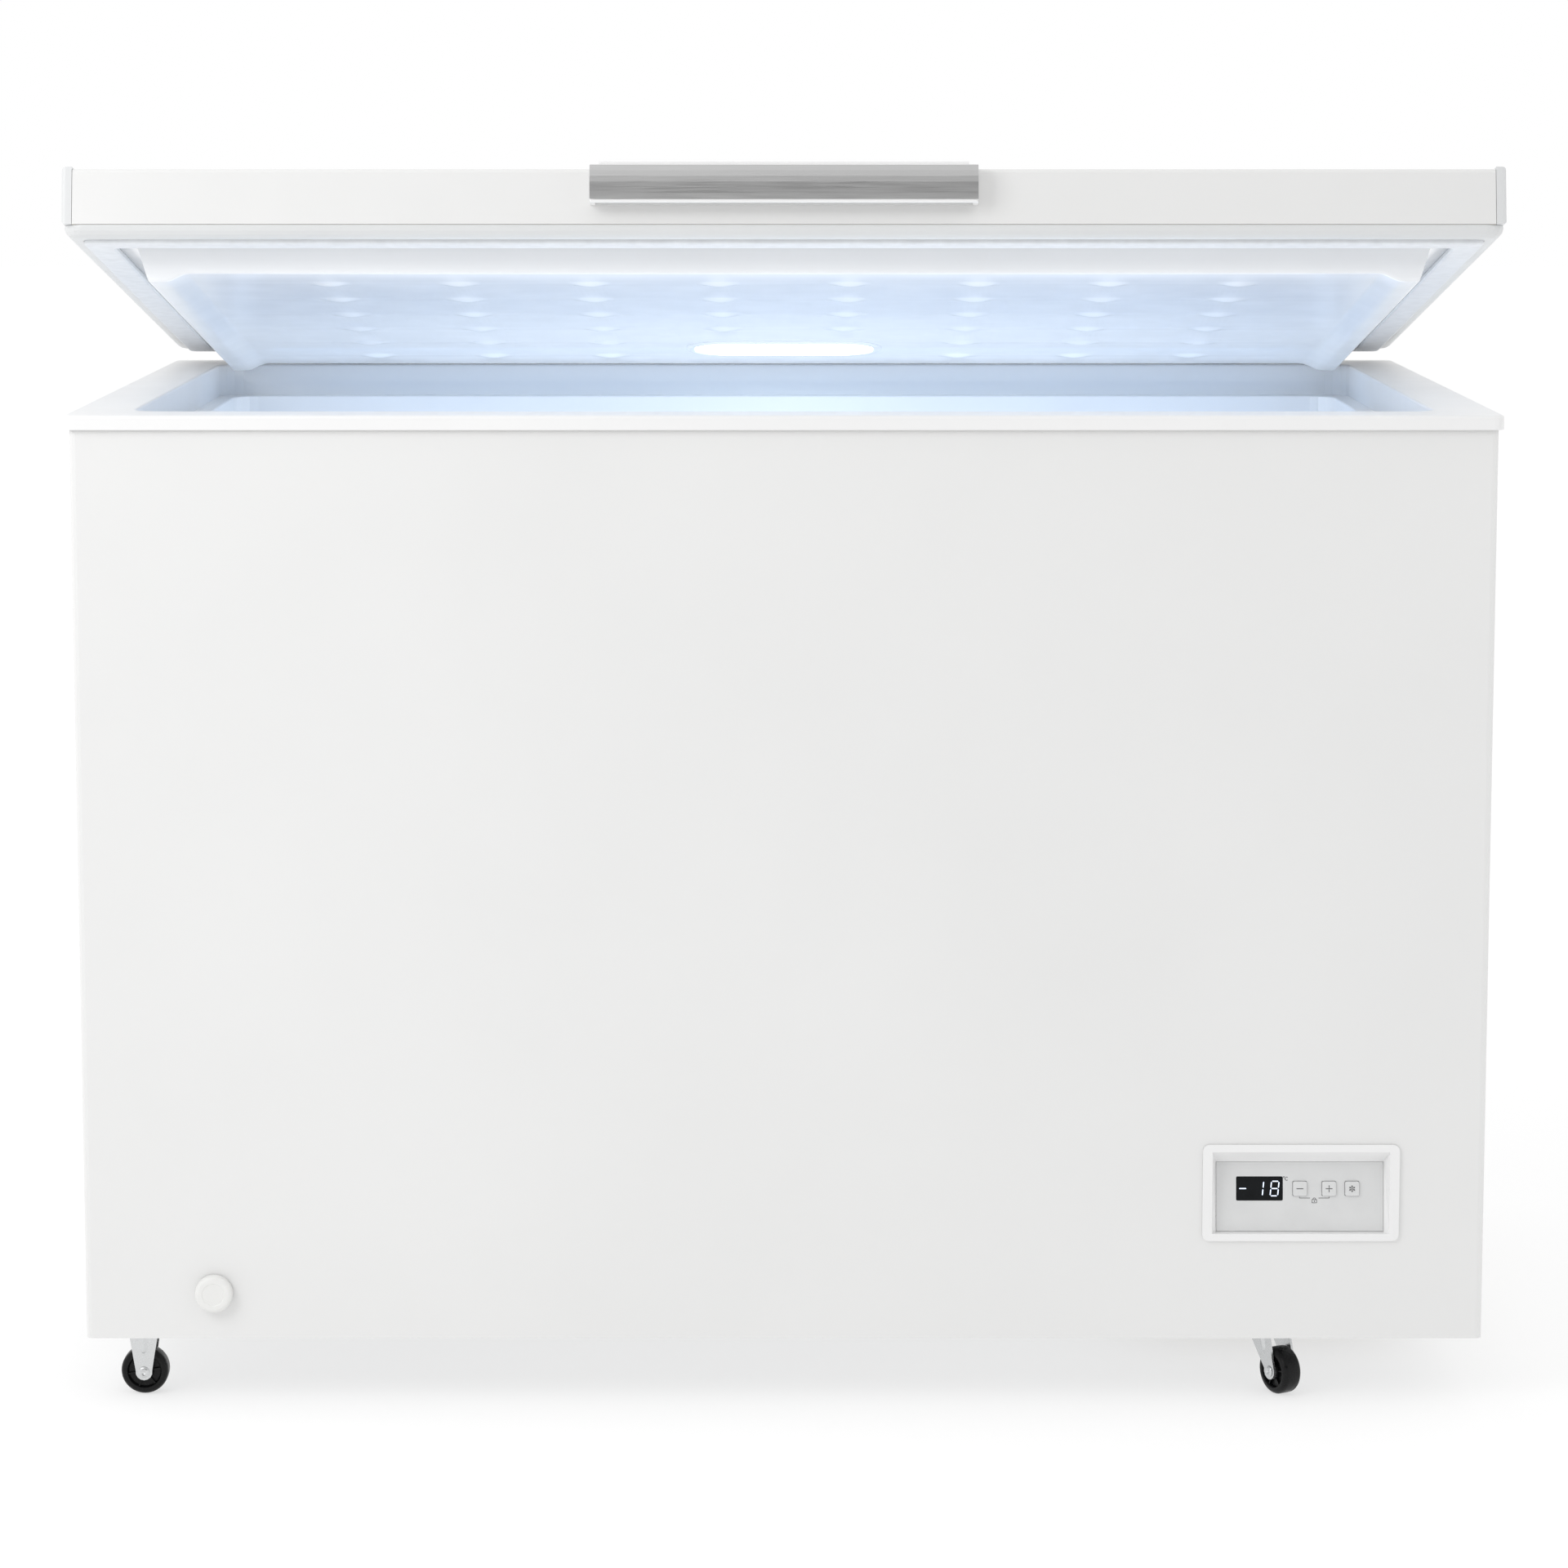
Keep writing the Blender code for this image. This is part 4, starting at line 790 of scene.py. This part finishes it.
def flange_point(x, y):
    """Where a point of the plug's edge goes on the flange's rounded outline."""
    half_x = HALF_W - FLANGE_INSET
    front = FRONT + FLANGE_INSET
    back = BACK - FLANGE_INSET
    if abs(x) > PLUG_LOW_X - 1e-6:
        x = math.copysign(half_x, x)
    if y < PLUG_FRONT + 1e-6:
        y = front
    elif y > PLUG_BACK - 1e-6:
        y = back
    arm = Vector((max(abs(x) - half_x + FLANGE_R, 0), max(y - back + FLANGE_R, front + FLANGE_R - y, 0)))
    if min(arm) > 0:
        arm = arm.normalized() * FLANGE_R
        x = math.copysign(half_x - FLANGE_R + arm.x, x)
        y = back - FLANGE_R + arm.y if y > 0 else front + FLANGE_R - arm.y
    return x, y


def make_lid_liner():
    bm = bmesh.new()
    columns = liner_columns()
    rows = liner_rows()
    grid = [[bm.verts.new((x, y, liner_height(x, y))) for x in columns] for y in rows]
    for low, high in zip(grid, grid[1:]):
        for i in range(len(columns) - 1):
            bm.faces.new((low[i], high[i], high[i + 1], low[i + 1]))
    border = grid[0][:-1] + [row[-1] for row in grid[:-1]]
    border += list(reversed(grid[-1][1:])) + [row[0] for row in reversed(grid[1:])]
    flange_z = LID_Z + GAP
    wall = []
    flange = []
    for vert in border:
        x, y = vert.co.x, vert.co.y
        wall.append(bm.verts.new((x * PLUG_TOP_X / PLUG_LOW_X, y, flange_z)))
        flange.append(bm.verts.new((*flange_point(x, y), flange_z)))
    for inner, outer in ((border, wall), (wall, flange)):
        for i in range(len(border)):
            j = (i + 1) % len(border)
            bm.faces.new((inner[i], inner[j], outer[j], outer[i]))
    thing = piece(
        "lid_liner_sheet", bm, "cool_plastic_painted_blue_light", "lid", lid_matrix(), "lid_liner", smooth=50
    )
    solid = thing.modifiers.new("sheet", "SOLIDIFY")
    solid.thickness = LINER_T
    solid.offset = -1.0


def lamp_ring(grow, z):
    half_x = LAMP_W / 2 + grow
    half_y = LAMP_D / 2 + grow
    radius = LAMP_D / 2 * LAMP_ROUND + grow
    return ring_points(half_x, LAMP_Y - half_y, LAMP_Y + half_y, radius, z, 10)


def make_lamp_rim():
    """The thin frame that holds the lens against the liner."""
    low = PANEL_UNDER - RIM_PROUD
    rings = [
        lamp_ring(2 * GAP, PANEL_UNDER),
        lamp_ring(2 * GAP, low + RIM_EDGE),
        lamp_ring(RIM_FLAT[0], low),
        lamp_ring(RIM_FLAT[1], low),
        lamp_ring(LAMP_RIM, PANEL_UNDER - GAP),
        lamp_ring(LAMP_RIM, PANEL_UNDER),
    ]
    bm = loft(bmesh.new(), rings, True)
    bmesh.ops.recalc_face_normals(bm, faces=bm.faces)
    piece("lamp_rim", bm, "cool_plastic_painted_blue_light", "lid", lid_matrix())


# ---------------------------------------------------------------- seal


def rim_ring(inset, z, radius):
    return ring_points(
        HALF_W - inset, FRONT + inset, BACK - inset, max(radius - inset, 0.002), z, 5
    )


def make_gasket():
    """The magnetic seal: a flat foot with a fold along each side."""
    outer = GASKET_R
    inner = outer + GASKET_IN - GASKET_OUT
    middle = (GASKET_LOW + GASKET_HIGH) / 2 + FOLD_UP
    rings = [
        rim_ring(GASKET_OUT, GASKET_HIGH, outer),
        rim_ring(GASKET_OUT, middle + FOLD_HALF, outer),
        rim_ring(GASKET_OUT + FOLD_DEEP, middle, outer),
        rim_ring(GASKET_OUT, middle - FOLD_HALF, outer),
        rim_ring(GASKET_OUT, GASKET_LOW + FOOT_UP, outer),
        rim_ring(GASKET_OUT + FOOT_IN, GASKET_LOW, outer),
        rim_ring(GASKET_IN - FOOT_IN, GASKET_LOW, inner),
        rim_ring(GASKET_IN, GASKET_LOW + FOOT_UP, inner),
        rim_ring(GASKET_IN, middle - FOLD_HALF, inner),
        rim_ring(GASKET_IN - FOLD_DEEP, middle, inner),
        rim_ring(GASKET_IN, middle + FOLD_HALF, inner),
        rim_ring(GASKET_IN, GASKET_HIGH, inner),
    ]
    bm = loft(bmesh.new(), rings, True)
    bmesh.ops.recalc_face_normals(bm, faces=bm.faces)
    piece("seal_profile", bm, "grey_rubber", "lid", lid_matrix(), "lid_gasket", smooth=25)


# ---------------------------------------------------------------- control panel


def eight_strokes(left):
    """The seven bars of an upright figure 8, as pairs of ends."""
    right = left + 2 * DIGIT_HALF_W
    bars = []
    for z in (DIGIT_HALF_H, 0.0, -DIGIT_HALF_H):
        bars.append(((left + DIGIT_NICK, z), (right - DIGIT_NICK, z)))
    for x in (left, right):
        bars.append(((x, DIGIT_NICK), (x, DIGIT_HALF_H - DIGIT_NICK)))
        bars.append(((x, -DIGIT_NICK), (x, DIGIT_NICK - DIGIT_HALF_H)))
    return bars


def make_digits():
    """A minus sign and the figures 18 behind the dark window."""
    minus = [tuple((x, 0.0) for x in MINUS_X)]
    one = [tuple((ONE_X, side * z) for z in ONE_Z) for side in (1, -1)]
    slanted = [tuple((x + z * DIGIT_SLANT, z) for x, z in bar) for bar in one + eight_strokes(EIGHT_X)]
    bm = bmesh.new()
    for bar in minus + slanted:
        start, end = ((DISPLAY_X + x, CONTROLS_UP + z) for x, z in bar)
        stroke(bm, start, end, DIGIT_LINE, DISPLAY_FACE - INK_T, DISPLAY_FACE - INK_LIFT)
    piece("display_digits", bm, "lit_digits", "root", fascia_matrix())


def make_degree_mark():
    """A small ring and an open C, beside the window's upper corner."""
    x = DISPLAY_X + DEGREE_X
    z = CONTROLS_UP + DEGREE_UP
    ring = arc((x - LETTER_R, z + LETTER_R), DEGREE_R, 0, 330, 10)
    letter = arc((x + LETTER_SHIFT, z), LETTER_R, 50, 310, 12)
    bm = bmesh.new()
    band(bm, ring, DEGREE_LINE, -INK_T, -INK_LIFT)
    band(bm, letter, LETTER_LINE, -INK_T, -INK_LIFT)
    piece("degree_mark", bm, "printed_ink", "root", fascia_matrix())


def make_lock_mark():
    """A padlock, with a line out to the minus button and one to the plus button."""
    bm = bmesh.new()
    x = (BUTTONS["button_minus"] + BUTTONS["button_plus"]) / 2
    z = CONTROLS_UP - LOCK_DOWN
    front, back = -INK_T, -INK_LIFT
    low = z - LOCK_H
    corners = [(x - LOCK_HALF_W, z), (x + LOCK_HALF_W, z), (x + LOCK_HALF_W, low), (x - LOCK_HALF_W, low)]
    for a, b in zip(corners, corners[1:] + corners[:1]):
        stroke(bm, a, b, LOCK_LINE, front, back, 0.0)
    band(bm, arc((x, z + LOCK_LINE / 2), LOCK_ARC_R, 180, 0, 10), LOCK_LINE, front, back)
    stroke(bm, (x, z - 2 * LOCK_LINE), (x, z - KEYHOLE_LOW), LOCK_LINE * 1.5, front, back, 0.0)
    for side in (-1, 1):
        near = (x + side * TIE_NEAR, z + TIE_UP)
        far = (x + side * TIE_FAR, z + TIE_UP)
        stroke(bm, near, far, LOCK_LINE, front, back, 0.0)
        stroke(bm, far, (far[0], z + TIE_END), LOCK_LINE, front, back, 0.0)
    piece("lock_mark", bm, "printed_ink", "root", fascia_matrix())


def draw_snowflake(bm, centre, front, back):
    """Six arms with a pair of barbs on each."""
    for step in range(6):
        angle = math.radians(30 + 60 * step)
        reach = Vector((math.cos(angle), math.sin(angle)))
        tip = centre + reach * MARK_HALF
        stroke(bm, centre + reach * FLAKE_HOLE, tip, MARK_LINE * 0.8, front, back, 0.0)
        root = centre + reach * MARK_HALF * BARB_AT
        for turn in (-1, 1):
            barb = angle + turn * math.radians(50)
            end = root + Vector((math.cos(barb), math.sin(barb))) * BARB
            stroke(bm, root, end, MARK_LINE * 0.7, front, back, 0.0)


def make_button_marks():
    """A minus, a plus and a snowflake, each on its own button."""
    front = BUTTON_FACE - INK_T
    back = BUTTON_FACE - INK_LIFT
    for name, x in BUTTONS.items():
        bm = bmesh.new()
        if name == "button_super":
            draw_snowflake(bm, Vector((x, CONTROLS_UP)), front, back)
        else:
            left = (x - MARK_HALF, CONTROLS_UP)
            right = (x + MARK_HALF, CONTROLS_UP)
            stroke(bm, left, right, MARK_LINE, front, back, 0.0)
        if name == "button_plus":
            for low, high in ((-MARK_HALF, -MARK_LINE), (MARK_LINE, MARK_HALF)):
                start = (x, CONTROLS_UP + low)
                end = (x, CONTROLS_UP + high)
                stroke(bm, start, end, MARK_LINE, front, back, 0.0)
        piece(f"{name}_mark", bm, "printed_ink", name, fascia_matrix())


# ---------------------------------------------------------------- drain dial


def make_dial():
    """A round cap with a soft shoulder and a shallow ring round its middle."""
    shoulder = DIAL_SHOULDER
    middle = DIAL_OUT - DIAL_SUNK
    profile = [(0.0, middle), (DIAL_RING_R, middle), (DIAL_RING_R + 0.0006, DIAL_OUT - 0.0001)]
    steps = 8
    for step in range(steps + 1):
        angle = math.radians(90 * step / steps)
        radius = DIAL_R - shoulder + shoulder * math.sin(angle)
        profile.append((radius, DIAL_OUT - shoulder + shoulder * math.cos(angle)))
    profile += [(DIAL_R, DIAL_FOOT), (DIAL_R - 0.0008, 3 * GAP), (0.0, 3 * GAP)]
    bm = lathe(bmesh.new(), profile, 64)
    place = Matrix.Translation((DRAIN_X, SHELL_FRONT, DRAIN_Z)) @ Matrix.Rotation(math.pi / 2, 4, "X")
    piece("drain_dial_cap", bm, "warm_plastic", "drain_dial", place, "drain_dial", smooth=25)


# ---------------------------------------------------------------- casters


def wheel_profile():
    """A crowned tread, a raised rim, a dished side and a hub, each side alike."""
    half = WHEEL_W / 2
    steps = 6
    side = [(WHEEL_R, half - CROWN_H)]
    for step in range(1, steps + 1):
        angle = math.radians(90 * step / steps)
        x = WHEEL_R - CROWN_IN * (1 - math.cos(angle))
        side.append((x, half - CROWN_H + CROWN_H * math.sin(angle)))
    side += [
        (DISH_R + 0.0012, half),
        (DISH_R + 0.0007, half - 0.0006),
        (DISH_R, half - DISH_DEEP),
        (HUB_R + 0.0013, half - DISH_DEEP),
        (HUB_R + 0.0006, half - 0.0004),
        (HUB_R, half),
        (AXLE_R + 2 * GAP, half),
    ]
    other = [(radius, -height) for radius, height in reversed(side)]
    return other[:-1] + [(WHEEL_R, 0.0)] + side


def wheel_ribs(bm):
    """Six thin ribs from the hub to the rim on each side."""
    half = WHEEL_W / 2
    for side in (-1, 1):
        for step in range(SPOKES):
            turn = Matrix.Rotation(math.radians(360 / SPOKES * step + 10), 4, "Z")
            rib = bmesh.ops.create_cube(bm, size=1.0)["verts"]
            bmesh.ops.scale(bm, vec=SPOKE, verts=rib)
            bmesh.ops.translate(bm, vec=(SPOKE_R, 0.0, side * (half - SPOKE[2])), verts=rib)
            bmesh.ops.transform(bm, matrix=turn, verts=rib)


def make_wheel(name):
    bm = lathe(bmesh.new(), list(reversed(wheel_profile())), 48)
    wheel_ribs(bm)
    body = f"{name}_wheel"
    piece(f"{name}_tyre", bm, "tyre_black", body, caster_matrix(name), body, smooth=30)


def make_rivet(name):
    """The axle with a rolled head and a dimple in each end."""
    reach = LEG_FACE + GAP
    dimple = reach + 0.0003
    end = [
        (0.0, dimple),
        (0.0010, dimple),
        (0.0017, reach + 0.0008),
        (0.0028, reach + 0.0011),
        (0.0039, reach + 0.0007),
        (RIVET_R, reach + 0.0002),
        (RIVET_R, reach),
        (AXLE_R, reach),
    ]
    profile = end + [(radius, -height) for radius, height in reversed(end)]
    bm = lathe(bmesh.new(), profile, 32)
    node = f"{name}_axle"
    body = f"{name}_swivel" if CASTERS[name][2] else "root"
    piece(f"{name}_rivet", bm, "zinc", body, caster_matrix(name), node, smooth=25)


def rib_ring(side, centre, half, rise, z):
    """One level of a rib: its rounded face, then a straight back sunk in the leg."""
    face = side * LEG_FACE
    sunk = face - side * RIB_SUNK
    steps = [i / 4 - 1 for i in range(9)]
    front = [(centre + half * s, face + side * rise * math.cos(math.pi * s / 2) ** 2) for s in steps]
    return [(x, y, z) for x, y in front + [(centre + half, sunk), (centre - half, sunk)]]


def make_fork_rib(name):
    """The pressed rib that stiffens each leg of a fork: a rounded bead, high at the top."""
    trail = CASTERS[name][2]
    lean = RIB_LEAN if trail else 0.0
    for side, hand in ((-1, "near"), (1, "far")):
        rings = []
        for step in range(RIB_STEPS + 1):
            down = step / RIB_STEPS
            into = max(down - 1 + RIB_TAPER, 0.0) / RIB_TAPER
            taper = math.sqrt(max(1 - into**2, 0.01))
            drop = (RIB_TOP - RIB_LOW) * down
            centre = (trail + drop) * lean
            rings.append(rib_ring(side, centre, RIB_HALF * taper, RIB_PROUD * taper, RIB_TOP - drop))
        bm = loft(bmesh.new(), rings, False)
        bmesh.ops.recalc_face_normals(bm, faces=bm.faces)
        body = f"{name}_swivel" if trail else "root"
        matrix = caster_matrix(name, at_wheel=False)
        piece(f"{name}_rib_{hand}", bm, "zinc", body, matrix, smooth=60)


# ---------------------------------------------------------------- screws


def make_screw(name, place, radius, body, turn):
    """A round-headed cross screw. Drawn about Z with its head up, and laid at its place."""
    bm = bmesh.new()
    rings = 7
    steps = 32
    height = radius * 0.45
    arm = radius * 0.16
    reach = radius * 0.58

    def top(x, y):
        r = math.hypot(x, y) / radius
        z = height * math.sqrt(max(1 - r * r, 0.0)) if r < 1 else 0.0
        in_cross = (abs(x) < arm and abs(y) < reach) or (abs(y) < arm and abs(x) < reach)
        return z * 0.35 if in_cross else z

    centre = bm.verts.new((0, 0, top(0, 0)))
    loops = []
    for ring in range(1, rings + 1):
        r = radius * ring / rings
        loop = []
        for i in range(steps):
            angle = 2 * math.pi * i / steps
            x, y = r * math.cos(angle), r * math.sin(angle)
            loop.append(bm.verts.new((x, y, top(x, y))))
        loops.append(loop)
    for i in range(steps):
        j = (i + 1) % steps
        bm.faces.new((centre, loops[0][i], loops[0][j]))
        for inner, outer in zip(loops, loops[1:]):
            bm.faces.new((inner[i], outer[i], outer[j], inner[j]))
    bm.faces.new(list(reversed(loops[-1])))
    piece(name, bm, "zinc", body, Matrix.Translation(place) @ turn, smooth=50)


def facing(direction):
    """Turns the Z axis to a direction."""
    return Vector(direction).to_track_quat("Z", "Y").to_matrix().to_4x4()


def make_rear_screws():
    """Screws round the rear panel, none where the service cover lies."""
    face = SHELL_BACK + GAP + REAR_T
    places = [(x, REAR_HIGH) for x in (-REAR_SIDE, -REAR_X, 0.0, REAR_X, REAR_SIDE)]
    places += [(-REAR_SIDE, z) for z in REAR_Z]
    places += [(REAR_SIDE, z) for z in REAR_Z[1:]]
    places += [(x, REAR_LOW) for x in (-REAR_SIDE, -REAR_X, 0.0, REAR_END)]
    for i, (x, z) in enumerate(places):
        make_screw(f"rear_screw_{i}", (x, face, z), SCREW_R, "root", facing((0, 1, 0)))


def make_cover_screws():
    """Three screws down each side of the service cover."""
    low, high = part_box("service_cover")
    face = high[1]
    i = 0
    for x in (low[0] + COVER_INSET, high[0] - COVER_INSET):
        for z in (low[2] + COVER_INSET, (low[2] + high[2]) / 2, high[2] - COVER_INSET):
            name = f"cover_screw_{i}"
            make_screw(name, (x, face, z), SCREW_R, "root", facing((0, 1, 0)))
            i += 1


def make_grille_screws():
    """A screw in each corner of the side grille."""
    low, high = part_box("side_grille")
    face = high[0]
    i = 0
    for y in (low[1] + GRILLE_INSET, high[1] - GRILLE_INSET):
        for z in (low[2] + GRILLE_INSET, high[2] - GRILLE_INSET):
            name = f"grille_screw_{i}"
            make_screw(name, (face, y, z), GRILLE_SCREW_R, "root", facing((1, 0, 0)))
            i += 1


def make_arm_screws():
    """Two screws hold each hinge arm to the back of the lid."""
    for side, x in (("left", -HINGE_X), ("right", HINGE_X)):
        for hand in (-1, 1):
            place = lid_matrix() @ Vector((x + hand * ARM_SCREW_X, BACK + ARM_T, LID_TOP - ARM_SCREW_DOWN))
            turn = Matrix.Rotation(-LID_OPEN, 4, "X") @ facing((0, 1, 0))
            name = f"arm_screw_{side}_{'a' if hand < 0 else 'b'}"
            make_screw(name, place, HINGE_SCREW_R, "lid", turn)


def make_base_screws():
    """Screws through the back of each hinge's spring box."""
    for side in ("left", "right"):
        low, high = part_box(f"hinge_base_{side}")
        x = (low[0] + high[0]) / 2
        face = high[1] - SCREW_SUNK
        for i, up in enumerate(BASE_SCREWS_UP):
            name = f"base_screw_{side}_{i}"
            place = (x, face, low[2] + up)
            make_screw(name, place, HINGE_SCREW_R, "root", facing((0, 1, 0)))


# ---------------------------------------------------------------- studio


def make_floor():
    bm = bmesh.new()
    bmesh.ops.create_grid(bm, x_segments=8, y_segments=8, size=20.0)
    mesh = bpy.data.meshes.new("studio_floor")
    bm.to_mesh(mesh)
    bm.free()
    paper = Finish("studio_paper", (0.38, 0.38, 0.38), 0.9).mottle(0.004, 1.5)
    paper.shine(0.0).glow((1.0, 1.0, 1.0), 0.64)
    mesh.materials.append(paper.material)
    floor = bpy.data.objects.new("studio_floor", mesh)
    floor.location.z = -0.0002
    bpy.context.scene.collection.objects.link(floor)


def make_light(name, place, target, size, power, colour):
    """A soft box that the camera doesn't see, turned towards its target."""
    lamp = bpy.data.lights.new(name, "AREA")
    lamp.shape = "RECTANGLE"
    lamp.size, lamp.size_y = size
    lamp.energy = power
    lamp.color = colour
    thing = bpy.data.objects.new(name, lamp)
    thing.location = place
    thing.rotation_euler = (Vector(target) - Vector(place)).to_track_quat("-Z", "Y").to_euler()
    thing.visible_camera = False
    bpy.context.scene.collection.objects.link(thing)


def make_flag():
    """A dark card high up in front, hidden from the camera, for the handle to mirror."""
    bm = bmesh.new()
    bmesh.ops.create_grid(bm, x_segments=1, y_segments=1, size=0.5)
    tilt = Matrix.Rotation(FLAG_TILT, 4, "X")
    bm.transform(Matrix.Translation(FLAG_PLACE) @ tilt @ Matrix.Diagonal((*FLAG_SIZE, 1.0, 1.0)))
    mesh = bpy.data.meshes.new("studio_flag")
    bm.to_mesh(mesh)
    bm.free()
    mesh.materials.append(Finish("studio_card", (0.02, 0.02, 0.02), 0.9).mottle(0.1, 0.5).material)
    flag = bpy.data.objects.new("studio_flag", mesh)
    flag.visible_camera = False
    bpy.context.scene.collection.objects.link(flag)


def make_studio():
    """White paper all round, a soft key from the left, and cold light in the tub and under the lid."""
    make_floor()
    world = bpy.data.worlds.new("studio_world")
    world.use_nodes = True
    world.node_tree.nodes["Background"].inputs["Color"].default_value = (1.0, 1.0, 1.0, 1.0)
    world.node_tree.nodes["Background"].inputs["Strength"].default_value = 1.0
    bpy.context.scene.world = world
    bpy.context.scene.view_settings.view_transform = "Standard"
    make_flag()
    for name, (place, target, size, power, colour) in LIGHTS.items():
        make_light(name, place, target, size, power, colour)


def make_camera():
    data = bpy.data.cameras.new("camera")
    data.lens = CAMERA_LENS
    data.sensor_width = 36.0
    data.shift_y = CAMERA_SHIFT
    camera = bpy.data.objects.new("camera", data)
    camera.location = CAMERA_PLACE
    camera.rotation_euler = (CAMERA_TILT, 0.0, 0.0)
    bpy.context.scene.collection.objects.link(camera)
    bpy.context.scene.camera = camera


def make_looks():
    dress_frame()
    make_lid_liner()
    make_lamp_rim()
    make_gasket()
    make_digits()
    make_degree_mark()
    make_lock_mark()
    make_button_marks()
    make_dial()
    for name in CASTERS:
        make_wheel(name)
        make_rivet(name)
        make_fork_rib(name)
    make_rear_screws()
    make_cover_screws()
    make_grille_screws()
    make_arm_screws()
    make_base_screws()
    make_studio()
    make_camera()
    bpy.context.view_layer.update()


make_looks()
